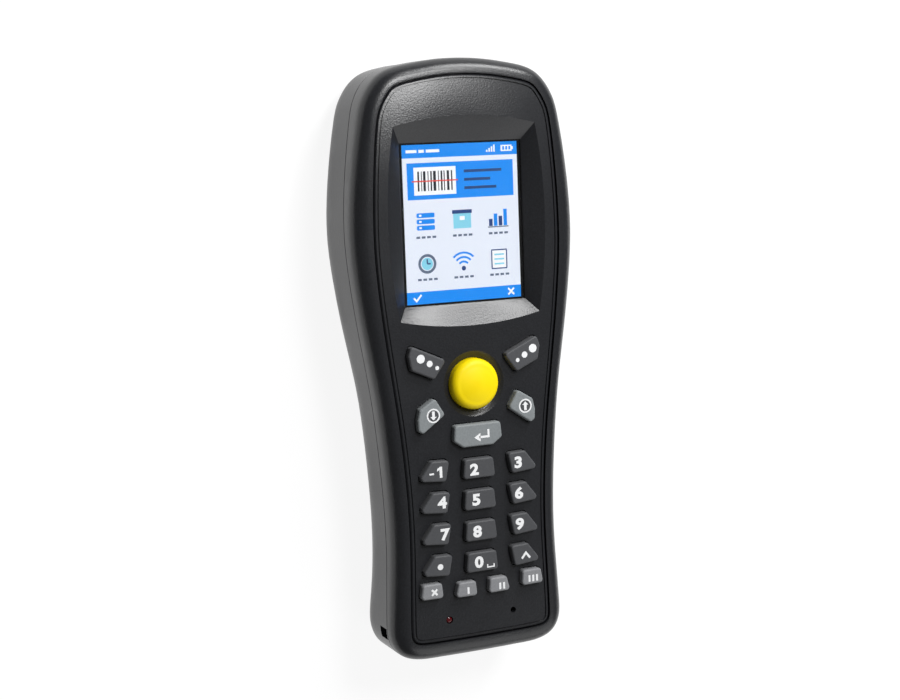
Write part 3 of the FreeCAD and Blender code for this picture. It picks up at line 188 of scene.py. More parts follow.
def tint(tree, factor, colour_low, colour_high):
    """Blends two colours by a pattern."""
    ramp = add_node(tree, "ShaderNodeValToRGB", {"Fac": factor})
    ramp.color_ramp.elements[0].position = BLEND_LOW
    ramp.color_ramp.elements[0].color = colour_low
    ramp.color_ramp.elements[1].position = BLEND_HIGH
    ramp.color_ramp.elements[1].color = colour_high
    return ramp.outputs["Color"]


def shade(rgba, factor):
    return (*[min(channel * factor, 1.0) for channel in rgba[:3]], 1.0)


def relief(tree, shader, height, strength, depth_mm):
    """Raises a 0 to 1 pattern by a depth."""
    inputs = {"Height": height, "Strength": strength, "Distance": depth_mm * MM}
    bump = add_node(tree, "ShaderNodeBump", inputs)
    tree.links.new(bump.outputs["Normal"], shader.inputs["Normal"])


def roll_off(tree, centre, start, reach):
    """Grows from 0 at a radius about a point to 1 a reach further out, as the square of the way.
    Nearer the foot than the point, the way along the terminal doesn't count."""
    no_limit = -1.0  # lower than any place on the terminal, in metres
    ahead = add_node(
        tree,
        "ShaderNodeVectorMath",
        {0: place(tree), 1: (no_limit, centre.y, no_limit)},
        operation="MAXIMUM",
    ).outputs["Vector"]
    offset = add_node(tree, "ShaderNodeVectorMath", {0: ahead, 1: centre}, operation="DISTANCE")
    inputs = {"Value": offset.outputs["Value"], "From Min": start, "From Max": start + reach}
    past = add_node(tree, "ShaderNodeMapRange", inputs).outputs["Result"]
    return add_node(tree, "ShaderNodeMath", {0: past, 1: past}, operation="MULTIPLY").outputs[0]


def spark_textured_abs(name, rgba, grain_mm):
    """ABS moulded in a spark-eroded tool: fine pits scatter the gloss into a soft grey sheen.
    The real pits are about 0.1 mm wide and are drawn coarser, so that they show."""
    material, tree, shader = new_material(name, IOR=1.53)
    pits = noise(tree, grain_mm)
    handling = noise(tree, 22.0)
    colours = tint(tree, pits, shade(rgba, 0.82), shade(rgba, 1.2))
    tree.links.new(colours, shader.inputs["Base Color"])
    tree.links.new(spread(tree, handling, 0.28, 0.33), shader.inputs["Roughness"])
    relief(tree, shader, pits, 0.8, 0.05)
    return material


# The forehead's shading rolls back beyond a circle about a point on the screen's upper part
ROLL_CENTRE = Vector((0.0, 46.0, 28.0)) * MM
ROLL_START = 20.0 * MM
ROLL_REACH = 20.0 * MM


def crowned_abs(name, rgba, grain_mm, crown_mm):
    """The same textured ABS on the face panel, whose forehead rolls back towards the head end,
    so that it takes the light as a soft sheen that dies away towards the screen. The roll is in
    the shading only: the panel's mesh is flat there."""
    material = spark_textured_abs(name, rgba, grain_mm)
    tree = material.node_tree
    height = roll_off(tree, ROLL_CENTRE, ROLL_START, ROLL_REACH)
    inputs = {"Height": height, "Distance": crown_mm * MM}
    roll = add_node(tree, "ShaderNodeBump", inputs, invert=True)
    tree.links.new(roll.outputs["Normal"], tree.nodes["Bump"].inputs["Normal"])
    return material


def coated_silicone(name, rgba):
    """Silicone rubber with a sprayed matte coat: an even, slightly velvety grey."""
    material, tree, shader = new_material(name, IOR=1.43, Roughness=0.55, Sheen_Weight=0.08)
    mottle = noise(tree, 0.5)
    colours = tint(tree, mottle, shade(rgba, 0.94), shade(rgba, 1.06))
    tree.links.new(colours, shader.inputs["Base Color"])
    relief(tree, shader, noise(tree, 0.2), 0.2, 0.01)
    return material


def satin_abs(name, rgba):
    """Coloured ABS, satin: the pigment fills the surface, so the face is even, with no glint."""
    material, tree, shader = new_material(name, IOR=1.53, Specular_IOR_Level=0.25)
    tree.links.new(
        tint(tree, noise(tree, 6.0), shade(rgba, 0.98), shade(rgba, 1.02)),
        shader.inputs["Base Color"],
    )
    tree.links.new(spread(tree, noise(tree, 3.0), 0.44, 0.52), shader.inputs["Roughness"])
    relief(tree, shader, noise(tree, 0.3), 0.1, 0.01)
    return material


def screen_ink(name, rgba):
    """Screen-printed two-part ink: flat and opaque, with the weave of the mesh just there."""
    material, tree, shader = new_material(name, IOR=1.5, Roughness=0.5)
    tree.links.new(
        tint(tree, noise(tree, 0.15), shade(rgba, 0.96), rgba), shader.inputs["Base Color"]
    )
    return material


def polished_sheet(name, rgba, transmission):
    """Hard-coated acrylic sheet: clear and flat, it shows the room only as a faint reflection."""
    material, tree, shader = new_material(
        name, Base_Color=rgba, IOR=1.49, Transmission_Weight=transmission, Roughness=0.02
    )
    relief(tree, shader, noise(tree, 18.0), 0.02, 0.01)
    return material


def display_glass(name):
    """Black-printed edge of the display glass: deep and glossy."""
    material, tree, shader = new_material(name, Base_Color=linear("#0B0C0E"), IOR=1.52)
    tree.links.new(spread(tree, noise(tree, 9.0), 0.1, 0.16), shader.inputs["Roughness"])
    return material


def lit_dots(name, rgba, glow=1.0):
    """Backlit dots of the display: they give off their colour and hardly answer the room."""
    material, tree, shader = new_material(
        name,
        Base_Color=shade(rgba, 0.1),
        Emission_Color=rgba,
        Emission_Strength=glow,
        Roughness=0.4,
    )
    relief(tree, shader, noise(tree, 0.2), 0.05, 0.01)
    return material


def tinted_lens(name, rgba):
    """Red-tinted epoxy of a small lamp: dark when off, with a wet highlight."""
    material, tree, shader = new_material(
        name, Base_Color=rgba, IOR=1.55, Transmission_Weight=0.25, Coat_Weight=0.6, Roughness=0.12
    )
    relief(tree, shader, noise(tree, 1.0), 0.03, 0.01)
    return material


def zinc_plated_steel(name):
    """Cold-headed screw steel with bright zinc: grey metal with a faint cloudy bloom."""
    material, tree, shader = new_material(name, Metallic=1.0, Roughness=0.35)
    bloom = noise(tree, 0.8, detail=4.0)
    tree.links.new(tint(tree, bloom, linear("#8E9194"), linear("#B4B7B9")), shader.inputs["Base Color"])
    tree.links.new(spread(tree, bloom, 0.28, 0.42), shader.inputs["Roughness"])
    return material


def tinned_sheet(name):
    """Tin-plated steel sheet, rolled: pale metal with fine lines along the roll."""
    material, tree, shader = new_material(name, Metallic=1.0, Roughness=0.3)
    stretch = add_node(tree, "ShaderNodeMapping", {"Vector": place(tree), "Scale": (1.0, 0.05, 1.0)})
    lines = add_node(
        tree,
        "ShaderNodeTexNoise",
        {"Vector": stretch.outputs["Vector"], "Scale": 1 / (0.2 * MM), "Detail": 2.0},
    )
    tree.links.new(
        tint(tree, lines.outputs["Fac"], linear("#A9AAA6"), linear("#C6C7C2")),
        shader.inputs["Base Color"],
    )
    return material


def solder_mask(name):
    """Green solder mask over copper: glossy, darker between the tracks than on them."""
    material, tree, shader = new_material(name, IOR=1.5, Roughness=0.25)
    tracks = add_node(
        tree,
        "ShaderNodeTexWave",
        {"Vector": place(tree), "Scale": 1 / (1.2 * MM) / 6, "Distortion": 3.0},
        bands_direction="Y",
    )
    height = tracks.outputs["Fac"]
    tree.links.new(tint(tree, height, linear("#0C4A26"), linear("#17663A")), shader.inputs["Base Color"])
    relief(tree, shader, height, 0.3, 0.03)
    return material


def moulded_black(name, roughness=0.5):
    """Glass-filled nylon or chip epoxy: near black, with the filler showing as fine grey specks."""
    material, tree, shader = new_material(name, IOR=1.52, Roughness=roughness)
    specks = noise(tree, 0.15)
    tree.links.new(tint(tree, specks, linear("#121314"), linear("#1C1D1F")), shader.inputs["Base Color"])
    relief(tree, shader, specks, 0.2, 0.01)
    return material


def foam_rubber(name):
    """Closed-cell foam, die cut: dull black with open cells along the cut."""
    material, tree, shader = new_material(name, Roughness=0.9)
    cells = add_node(tree, "ShaderNodeTexVoronoi", {"Vector": place(tree), "Scale": 1 / (0.25 * MM)})
    height = cells.outputs["Distance"]
    tree.links.new(tint(tree, height, linear("#0F0F10"), linear("#202022")), shader.inputs["Base Color"])
    relief(tree, shader, height, 0.6, 0.1)
    return material


def gold_plate(name):
    """Hard gold over nickel on the battery springs: warm metal, wiped along the stroke."""
    material, tree, shader = new_material(name, Metallic=1.0, Roughness=0.3)
    wipe = noise(tree, 0.6)
    tree.links.new(tint(tree, wipe, linear("#C79A4A"), linear("#E2BC6C")), shader.inputs["Base Color"])
    return material


def shrink_film(name):
    """PVC film shrunk over the cells: glossy dark blue grey with slack ripples at the folds."""
    material, tree, shader = new_material(name, IOR=1.53, Roughness=0.22)
    ripples = noise(tree, 8.0)
    tree.links.new(tint(tree, ripples, linear("#2A2F3A"), linear("#343A47")), shader.inputs["Base Color"])
    relief(tree, shader, ripples, 0.4, 0.2)
    return material


def fired_ceramic(name):
    """Fired and glazed ceramic of the aerial: off-white with a dry gloss."""
    material, tree, shader = new_material(name, IOR=1.6, Roughness=0.3)
    tree.links.new(
        tint(tree, noise(tree, 0.4), linear("#D0CDC3"), linear("#DEDBD2")), shader.inputs["Base Color"]
    )
    return material


def dress(nodes, material):
    """Gives CAD nodes one material in their own slots."""
    for name in nodes:
        slots = NODES[name].data.materials
        slots.clear()
        slots.append(material)


def soften(nodes, degrees):
    """Shades a node's gentle facets as the curves that they stand for, and keeps its edges."""
    for name in nodes:
        mesh = NODES[name].data
        mesh.shade_smooth()
        mesh.set_sharp_from_angle(angle=math.radians(degrees))


# The scan key's cap

# Sizes in millimetres: its wall, the round of its edge, how far its shoulder stands out of the
# face, the crown of its top, the flange and plunger that hold it under the panel, and the collar
# that carries the panel's dish on down to the cap
CAP_RADIUS = 7.15
CAP_EDGE = 2.0
CAP_STANDS = 2.2
CAP_CROWN = 0.7
FLANGE_DEPTH = 2.1
FLANGE_THICKNESS = 1.2
PLUNGER_RADIUS = 1.7
COLLAR_INSIDE = 7.3
COLLAR_OUTSIDE = 8.03
COLLAR_DEPTH = 0.72
COLLAR_FALL = 0.35
COLLAR_BASE = 1.95
CAP_STEPS = 96
EDGE_STEPS = 8
TOP_STEPS = 10


def cap_profile():
    """Half of the cap's outline from its crest to its plunger's tip, in millimetres."""
    low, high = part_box("scan_key")
    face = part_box("face_panel")[1].z / MM
    shoulder, shelf = face + CAP_STANDS, CAP_RADIUS - CAP_EDGE
    profile = []
    for step in range(TOP_STEPS):
        share = step / TOP_STEPS
        profile.append((share * shelf, shoulder + CAP_CROWN * (1 - share**2)))
    for step in range(EDGE_STEPS + 1):
        turn = math.radians(90 * step / EDGE_STEPS)
        across, down = math.sin(turn), 1 - math.cos(turn)
        profile.append((shelf + CAP_EDGE * across, shoulder - CAP_EDGE * down))
    flange, under = (high.x - low.x) / 2 / MM, face - FLANGE_DEPTH
    profile += [(CAP_RADIUS, under), (flange, under), (flange, under - FLANGE_THICKNESS)]
    profile += [(PLUNGER_RADIUS, under - FLANGE_THICKNESS), (PLUNGER_RADIUS, low.z / MM)]
    return [*profile, (0, low.z / MM)]


# Points closer than this in metres are one point, and edges sharper than this in degrees stay
SAME_POINT = 1e-7
TURNED_EDGE = 30


def lathe(name, profile, centre, steps):
    """Turns a profile about an upright axis into a closed solid."""
    form = bmesh.new()
    rings = []
    for radius, level in profile:
        ring_points = []
        for step in range(steps if radius else 1):
            turn = 2 * math.pi * step / steps
            x = centre.x + radius * MM * math.cos(turn)
            y = centre.y + radius * MM * math.sin(turn)
            ring_points.append(form.verts.new((x, y, level * MM)))
        rings.append(ring_points)
    for upper, lower in zip(rings, rings[1:]):
        for index in range(steps):
            following = index + 1
            corners = [
                upper[index % len(upper)],
                lower[index % len(lower)],
                lower[following % len(lower)],
                upper[following % len(upper)],
            ]
            form.faces.new(list(dict.fromkeys(corners)))
    bmesh.ops.remove_doubles(form, verts=form.verts, dist=SAME_POINT)
    bmesh.ops.recalc_face_normals(form, faces=form.faces)
    mesh = bpy.data.meshes.new(name)
    form.to_mesh(mesh)
    form.free()
    mesh.shade_smooth()
    mesh.set_sharp_from_angle(angle=math.radians(TURNED_EDGE))
    piece = bpy.data.objects.new(name, mesh)
    bpy.context.scene.collection.objects.link(piece)
    return piece


def cap_scan_key(material, black):
    """A cap with a flatter top and a straighter wall than the CAD key's dome, in a black collar."""
    cap = lathe("scan_key_cap", cap_profile(), middle("scan_key"), CAP_STEPS)
    cap.data.materials.append(material)
    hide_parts("scan_key")
    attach(cap, "scan_key")
    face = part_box("face_panel")[1].z / MM
    corners = (
        (COLLAR_OUTSIDE, face - COLLAR_DEPTH),
        (COLLAR_OUTSIDE, face - COLLAR_BASE),
        (COLLAR_INSIDE, face - COLLAR_BASE),
        (COLLAR_INSIDE, face - COLLAR_DEPTH - COLLAR_FALL),
        (COLLAR_OUTSIDE, face - COLLAR_DEPTH),
    )
    collar = lathe("scan_key_collar", corners, middle("scan_key"), CAP_STEPS)
    collar.data.materials.append(black)
    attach(collar, "housing")


# Flat shapes, in millimetres


def disc(x, y, radius, steps=32):
    turns = [2 * math.pi * step / steps for step in range(steps)]
    return [(x + radius * math.cos(turn), y + radius * math.sin(turn)) for turn in turns]


def bar(x, y, width, height):
    """A rectangle by its middle."""
    left, low = x - width / 2, y - height / 2
    return [(left, low), (left + width, low), (left + width, low + height), (left, low + height)]


# A mitre is never longer than for a corner whose cosine is this
SHARPEST_MITRE = 0.3


def stroke(points, width):
    """A line of even width through points, as one outline with mitred corners."""
    sides = ([], [])
    for index, (x, y) in enumerate(points):
        here = Vector((x, y))
        before = (here - Vector(points[index - 1])).normalized() if index else None
        after = (Vector(points[index + 1]) - here).normalized() if index + 1 < len(points) else None
        before, after = before or after, after or before
        along = (before + after).normalized()
        across = Vector((-along.y, along.x)) * (width / 2 / max(along.dot(before), SHARPEST_MITRE))
        sides[0].append(tuple(here + across))
        sides[1].append(tuple(here - across))
    return sides[1] + sides[0][::-1]


def ring(x, y, radius, width, steps=40):
    """A circle line as a row of quads that touch."""
    outer, inner = disc(x, y, radius, steps), disc(x, y, radius - width, steps)
    quads = []
    for index in range(steps):
        following = (index + 1) % steps
        quads.append([outer[index], outer[following], inner[following], inner[index]])
    return quads


def cross(x, y, reach, width):
    """A diagonal cross as one outline."""
    half, turn = width / 2, math.sqrt(0.5)
    corner = [(half, half), (half, reach), (-half, reach)]
    outline = []
    for quarter in range(4):
        outline += corner
        corner = [(-v, u) for u, v in corner]
    return [(x + (u - v) * turn, y + (u + v) * turn) for u, v in outline]


def rounded_tile(x, y, width, height, radius, steps=6):
    outline = []
    corners = ((1, 1, 0), (-1, 1, 90), (-1, -1, 180), (1, -1, 270))
    for side_x, side_y, start in corners:
        cx = x + side_x * (width / 2 - radius)
        cy = y + side_y * (height / 2 - radius)
        for step in range(steps + 1):
            turn = math.radians(start + 90 * step / steps)
            outline.append((cx + radius * math.cos(turn), cy + radius * math.sin(turn)))
    return outline


class Print:
    """A thin printed layer made of flat outlines, each in one of several materials."""

    def __init__(self, name, materials):
        self.mesh = bpy.data.meshes.new(name)
        self.form = bmesh.new()
        self.name = name
        self.materials = materials

    def add(self, outline, base, thickness, ink=0):
        """One closed outline in millimetres, with its base and thickness in metres."""
        low = [self.form.verts.new((x * MM, y * MM, base)) for x, y in outline]
        high = [self.form.verts.new((x * MM, y * MM, base + thickness)) for x, y in outline]
        faces = [self.form.faces.new(high), self.form.faces.new(low[::-1])]
        for index in range(len(outline)):
            following = (index + 1) % len(outline)
            faces.append(
                self.form.faces.new((low[index], low[following], high[following], high[index]))
            )
        for face in faces:
            face.material_index = ink

    def add_figure(self, text, x, y, height, weight, base, thickness):
        """A figure from Blender's own plain type, widened to a bold weight."""
        curve = bpy.data.curves.new("figure", "FONT")
        curve.body = text
        curve.align_x = "CENTER"
        curve.align_y = "CENTER"
        curve.size = height / FIGURE_SHARE
        curve.offset = weight
        curve.extrude = thickness / 2
        curve.resolution_u = 4
        carrier = bpy.data.objects.new("figure", curve)
        bpy.context.scene.collection.objects.link(carrier)
        bpy.context.view_layer.update()
        shape = bpy.data.meshes.new_from_object(
            carrier.evaluated_get(bpy.context.evaluated_depsgraph_get())
        )
        shape.transform(Matrix.Diagonal((FIGURE_STRETCH, 1, 1, 1)))
        shape.transform(Matrix.Translation((x * MM, y * MM, base + thickness / 2)))
        self.form.from_mesh(shape)
        bpy.data.objects.remove(carrier)
        bpy.data.curves.remove(curve)
        bpy.data.meshes.remove(shape)

    def finish(self, body, slot):
        bmesh.ops.recalc_face_normals(self.form, faces=self.form.faces)
        self.form.to_mesh(self.mesh)
        self.form.free()
        for material in self.materials:
            self.mesh.materials.append(material)
        piece = bpy.data.objects.new(self.name, self.mesh)
        bpy.context.scene.collection.objects.link(piece)
        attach(piece, body)


# A figure's height in Blender's own type, as a share of its size
FIGURE_SHARE = 0.73
# How much wider than the type the figures on the keys are
FIGURE_STRETCH = 1.2
# How far a print starts inside what it is printed on
SUNK = 0.01 * MM

# Middles of the figures on the number keys, in millimetres
FIGURES = {
    "key_2": (-1.6, -30.0),
    "key_3": (12.1, -29.5),
    "key_4": (-11.7, -38.2),
    "key_5": (-1.3, -38.6),
    "key_6": (12.0, -38.3),
    "key_7": (-11.3, -47.2),
    "key_8": (-1.3, -47.7),
    "key_9": (12.0, -47.2),
    "key_0": (-1.1, -56.5),
}

# Middles of the arrow keys' rings and of the signs on the last three function keys
ARROW_PLACES = {"key_up": (14.85, -13.5), "key_down": (-13.4, -13.5)}
FUNCTION_PLACES = ((-4.7, -64.0), (5.8, -64.1), (15.7, -63.3))

# Each dot of a row by its middle and its radius
DOT_ROWS = {
    "dots_key_left": ((-16.55, 2.5, 1.2), (-13.95, 0.95, 0.88), (-11.75, -0.4, 0.58)),
    "dots_key_right": ((17.7, 2.6, 1.2), (15.1, 1.0, 0.88), (12.9, -0.35, 0.58)),
    "key_dot": ((-13.0, -56.1, 0.85),),
}

# Lines by their points and their width
SIGN_LINES = {
    "key_0": ([(1.5, -57.3), (1.5, -58.1), (3.5, -58.1), (3.5, -57.3)], 0.38),
    "key_control": ([(12.3, -57.2), (13.6, -55.6), (14.9, -57.2)], 0.62),
    "key_enter": ([(3.1, -18.9), (3.1, -20.9), (0.3, -20.9)], 0.62),
}
ENTER_HEAD = [(-1.3, -20.9), (0.6, -22.1), (0.6, -19.7)]

# Sizes of the arrow keys' signs and of the tally of bars on the function keys
RING_RADIUS, RING_WIDTH, GROUND_RADIUS = 2.0, 0.42, 1.75
ARROW_HEIGHT, ARROW_WIDTH, ARROW_HEAD = 2.5, 0.8, 0.95
TALLY_PITCH, TALLY_WIDTH, TALLY_HEIGHT = 1.2, 0.62, 1.9


def arrow(x, y, height, width, head):
    """An arrow that points along the terminal, or back along it if its height is negative."""
    turn = math.copysign(1, height)
    tip, tail = y + height / 2, y - height / 2
    neck = tip - turn * head
    return [
        (x, tip),
        (x - turn * head, neck),
        (x - turn * width / 2, neck),
        (x - turn * width / 2, tail),
        (x + turn * width / 2, tail),
        (x + turn * width / 2, neck),
        (x + turn * head, neck),
    ]


def figure_one(x, y, height):
    """A bold 1 with its flag, which Blender's own type hasn't got."""
    stem, flag = 0.26 * height, 0.24 * height
    top, low = y + height / 2, y - height / 2
    return [
        (x, low),
        (x + stem, low),
        (x + stem, top),
        (x + 0.2 * stem, top),
        (x - flag, top - 0.8 * flag),
        (x - flag, top - 1.7 * flag),
        (x, top - 1.1 * flag),
    ]


def legend_ground(key):
    """Darker print that the white signs of the arrow keys stand on."""
    if key in ARROW_PLACES:
        return [disc(*ARROW_PLACES[key], GROUND_RADIUS)]
    return []


def legend_shapes(key, figure_height):
    """The plain signs on each key, as outlines in millimetres."""
    shapes = [disc(x, y, radius) for x, y, radius in DOT_ROWS.get(key, ())]
    if key in SIGN_LINES:
        shapes.append(stroke(*SIGN_LINES[key]))
    if key == "key_enter":
        shapes.append(ENTER_HEAD)
    if key == "key_1":
        shapes += [bar(-14.6, -29.7, 1.35, 0.5), figure_one(-12.2, -29.4, figure_height)]
    if key in ARROW_PLACES:
        x, y = ARROW_PLACES[key]
        side = 1 if key == "key_up" else -1
        shapes += ring(x, y, RING_RADIUS, RING_WIDTH)
        shapes.append(arrow(x, y, ARROW_HEIGHT * side, ARROW_WIDTH, ARROW_HEAD))
    if key == "function_key_1":
        shapes.append(cross(-15.05, -63.05, 1.15, 0.6))
    elif key in FUNCTION_KEYS:
        count = FUNCTION_KEYS.index(key)
        x, y = FUNCTION_PLACES[count - 1]
        first = x - (count - 1) * TALLY_PITCH / 2
        for index in range(count):
            shapes.append(bar(first + TALLY_PITCH * index, y, TALLY_WIDTH, TALLY_HEIGHT))
    return shapes


def print_legends(colours, sizes):
    white = screen_ink("two-part screen ink, white", tuple(colours.legend))
    dark = screen_ink("two-part screen ink, dark grey", tuple(colours.number_keys))
    thickness = sizes.ink_height + SUNK
    for key in [*NUMBER_KEYS, *GREY_KEYS, *DOTS_KEYS, *FUNCTION_KEYS]:
        layer = Print(f"legend_{key}", [white, dark])
        for outline in legend_ground(key):
            layer.add(outline, KEY_TOP - SUNK, thickness / 2, ink=1)
        for outline in legend_shapes(key, sizes.digit_height / MM):
            layer.add(outline, KEY_TOP - SUNK, thickness)
        if key in FIGURES:
            layer.add_figure(
                key[-1],
                *FIGURES[key],
                sizes.digit_height,
                sizes.digit_weight,
                KEY_TOP - SUNK,
                thickness,
            )
        layer.finish(key, SLOT_OF[key])


# The picture on the display

SCREEN_INKS = {
    "ground": None,
    "accent": None,
    "white": "#FAFCFF",
    "navy": "#27447F",
    "sky": "#86D3EA",
    "slate": "#5C6B84",
    "red": "#E2463C",
    "black": "#1B2028",
}
INK_ORDER = list(SCREEN_INKS)

# Each layer of the picture lies this much above the one below
LAYER = 0.012 * MM


class Picture:
    """A menu page of plain shapes, in millimetres from the lit area's lower left corner."""

    def __init__(self, colours, sizes):
        inks = []
        for name, code in SCREEN_INKS.items():
            if name == "ground":
                rgba = tuple(colours.screen)
            elif name == "accent":
                rgba = tuple(colours.accent)
            else:
                rgba = linear(code)
            inks.append(lit_dots(f"backlit dots, {name}", rgba))
        self.layer = Print("screen_picture", inks)
        self.width = sizes.lit_width / MM
        self.length = sizes.lit_length / MM
        centre = (GLASS_LOW + GLASS_HIGH) / 2 / MM
        self.left = centre.x - self.width / 2
        self.low = centre.y - self.length / 2
        self.base = GLASS_HIGH.z

    def draw(self, outline, ink, level=1):
        moved = [(x + self.left, y + self.low) for x, y in outline]
        self.layer.add(moved, self.base, level * LAYER, INK_ORDER.index(ink))


# Heights of the bars across the top and the foot of the page
STATUS_HEIGHT, FOOT_HEIGHT = 3.6, 3.4

# The banner's height on the page, and the middle of its card across it
BANNER_Y, CARD_X = 33.6, 9.6

# Widths of the code's stripes, and the gaps that follow them in turn
STRIPES = (0.5, 0.25, 0.7, 0.25, 0.45, 0.8, 0.25, 0.5, 0.3, 0.7, 0.4)
STRIPE_GAPS = (0.55, 0.4, 0.65)

# Middle of the grid's first sign, and the ways to the next column and row
GRID_LEFT, GRID_TOP = 6.4, 22.6
COLUMN_PITCH, ROW_PITCH = 11.0, 11.6
COLUMNS = 3


def draw_bars(picture):
    """Status bar with its signal and battery signs, and the foot bar with a tick and a cross."""
    width, length = picture.width, picture.length
    status = length - STATUS_HEIGHT / 2
    picture.draw(bar(width / 2, length / 2, width, length), "ground")
    picture.draw(bar(width / 2, status, width, STATUS_HEIGHT), "accent", 2)
    picture.draw(bar(width / 2, FOOT_HEIGHT / 2, width, FOOT_HEIGHT), "accent", 2)
    for step in range(4):
        height = 0.6 + 0.45 * step
        picture.draw(bar(25.6 + 0.75 * step, length - 2.7 + height / 2, 0.45, height), "white", 3)
    picture.draw(bar(31.6, status, 3.4, 1.7), "white", 3)
    picture.draw(bar(33.5, status, 0.4, 0.8), "white", 3)
    for step in range(3):
        picture.draw(bar(30.7 + 0.95 * step, status, 0.6, 1.0), "accent", 4)
    for x, reach in ((2.8, 3.2), (5.8, 1.6), (9.2, 4.0)):
        picture.draw(bar(x, status, reach, 0.8), "white", 3)
    picture.draw(stroke([(2.0, 1.8), (2.8, 0.9), (4.3, 2.6)], 0.5), "white", 3)
    picture.draw(stroke([(30.9, 0.8), (32.7, 2.6)], 0.5), "white", 3)
    picture.draw(stroke([(30.9, 2.6), (32.7, 0.8)], 0.5), "white", 4)


def draw_banner(picture):
    """The chosen entry: a wide blue band with a striped code on a white card."""
    picture.draw(bar(17.4, BANNER_Y, 32.2, 10.0), "accent", 2)
    picture.draw(bar(CARD_X, BANNER_Y, 12.6, 7.6), "white", 3)
    x = 4.4
    for index, stripe in enumerate(STRIPES):
        picture.draw(bar(x + stripe / 2, BANNER_Y, stripe, 5.4), "black", 4)
        x += stripe + STRIPE_GAPS[index % len(STRIPE_GAPS)]
    picture.draw(bar(CARD_X, BANNER_Y, 13.8, 0.35), "red", 5)
    for row, reach in enumerate((11.5, 8.0, 9.8)):
        picture.draw(bar(18.4 + reach / 2, 35.9 - 2.3 * row, reach, 0.75), "navy", 3)


def draw_entry(picture, x, y, sign):
    """One entry of the lower grid: a sign with a short dotted caption under it."""
    sign(picture, x, y)
    for index in range(4):
        picture.draw(bar(x - 2.4 + 1.6 * index, y - 4.3, 1.1, 0.6), "slate", 2)


def sign_stack(picture, x, y):
    for level in range(3):
        picture.draw(rounded_tile(x, y - 1.7 + 1.7 * level, 5.4, 1.3, 0.4), "accent", 2)
        picture.draw(bar(x - 1.6, y - 1.7 + 1.7 * level, 0.7, 0.5), "white", 3)


def sign_crate(picture, x, y):
    picture.draw(bar(x, y - 0.3, 5.4, 4.2), "sky", 2)
    picture.draw(bar(x, y + 2.2, 6.0, 1.0), "navy", 3)
    picture.draw(bar(x, y + 0.4, 1.5, 1.1), "white", 3)


def sign_chart(picture, x, y):
    for index, height in enumerate((2.0, 3.4, 2.7, 4.6)):
        ink = "accent" if index % 2 else "navy"
        picture.draw(bar(x - 2.25 + 1.5 * index, y - 2.3 + height / 2, 1.1, height), ink, 2)
    picture.draw(bar(x, y - 2.55, 6.4, 0.3), "slate", 3)


def sign_dial(picture, x, y):
    for quad in ring(x, y, 2.7, 0.75):
        picture.draw(quad, "slate", 2)
    picture.draw(disc(x, y, 1.7), "sky", 2)
    picture.draw(stroke([(x, y), (x, y + 1.3)], 0.4), "navy", 3)
    picture.draw(stroke([(x, y), (x + 1.0, y)], 0.4), "navy", 4)


def sign_waves(picture, x, y):
    picture.draw(disc(x, y - 1.9, 0.65), "navy", 2)
    for step in (1, 2, 3):
        arc = [math.radians(45 + 15 * turn) for turn in range(7)]
        reach = 0.6 + 1.25 * step
        line = [(x + reach * math.cos(a), y - 1.9 + reach * math.sin(a)) for a in arc]
        picture.draw(stroke(line, 0.55), "accent", 2)


def sign_page(picture, x, y):
    picture.draw(bar(x, y, 4.4, 5.2), "white", 2)
    for side in (-1, 1):
        picture.draw(bar(x, y + 2.6 * side, 4.8, 0.35), "navy", 3)
        picture.draw(bar(x + 2.3 * side, y, 0.35, 4.9), "navy", 3)
    for row in range(3):
        picture.draw(bar(x, y + 1.3 - 1.3 * row, 3.0, 0.45), "sky", 3)


def show_picture(colours, sizes):
    picture = Picture(colours, sizes)
    draw_bars(picture)
    draw_banner(picture)
    signs = (sign_stack, sign_crate, sign_chart, sign_dial, sign_waves, sign_page)
    for index, sign in enumerate(signs):
        row, column = divmod(index, COLUMNS)
        draw_entry(picture, GRID_LEFT + COLUMN_PITCH * column, GRID_TOP - ROW_PITCH * row, sign)
    picture.layer.finish("housing", "screen")


# Studio

# The photograph's camera: where it stands in millimetres, and its right, up and back directions
CAMERA_PLACE = Vector((-194.7, 63.0, 446.0)) * MM
CAMERA_RIGHT = Vector((0.9097, -0.0359, 0.4138))
CAMERA_UP = Vector((0.0853, 0.9912, -0.1016))
CAMERA_BACK = Vector((-0.4065, 0.1277, 0.9047))
FOCAL_PIXELS = 1677.5
FRAME_WIDTH = 900
SENSOR_WIDTH = 36.0


def set_camera():
    data = bpy.data.cameras.new("photo_camera")
    data.sensor_width = SENSOR_WIDTH
    data.lens = FOCAL_PIXELS / FRAME_WIDTH * SENSOR_WIDTH
    data.clip_start = 0.01
    camera = bpy.data.objects.new("photo_camera", data)
    turn = Matrix((CAMERA_RIGHT, CAMERA_UP, CAMERA_BACK)).transposed().to_4x4()
    camera.matrix_world = Matrix.Translation(CAMERA_PLACE) @ turn
    bpy.context.scene.collection.objects.link(camera)
    bpy.context.scene.camera = camera


# Where the terminal's middle is, and how bright the room around it is next to white paper
STAGE_MIDDLE = Vector((0.0, 0.0, 0.02))
WORLD_LEVEL = 0.12

# Soft boxes: where each stands in metres, its side, and its brightness next to white paper
SOFT_BOXES = {
    "forehead_box": ((0.13, 0.318, 0.559), 0.2, 22.0),
    "head_box": ((0.252, 0.482, 0.302), 0.2, 18.0),
    "foot_box": ((0.36, -0.6, 0.4), 0.6, 1.2),
}


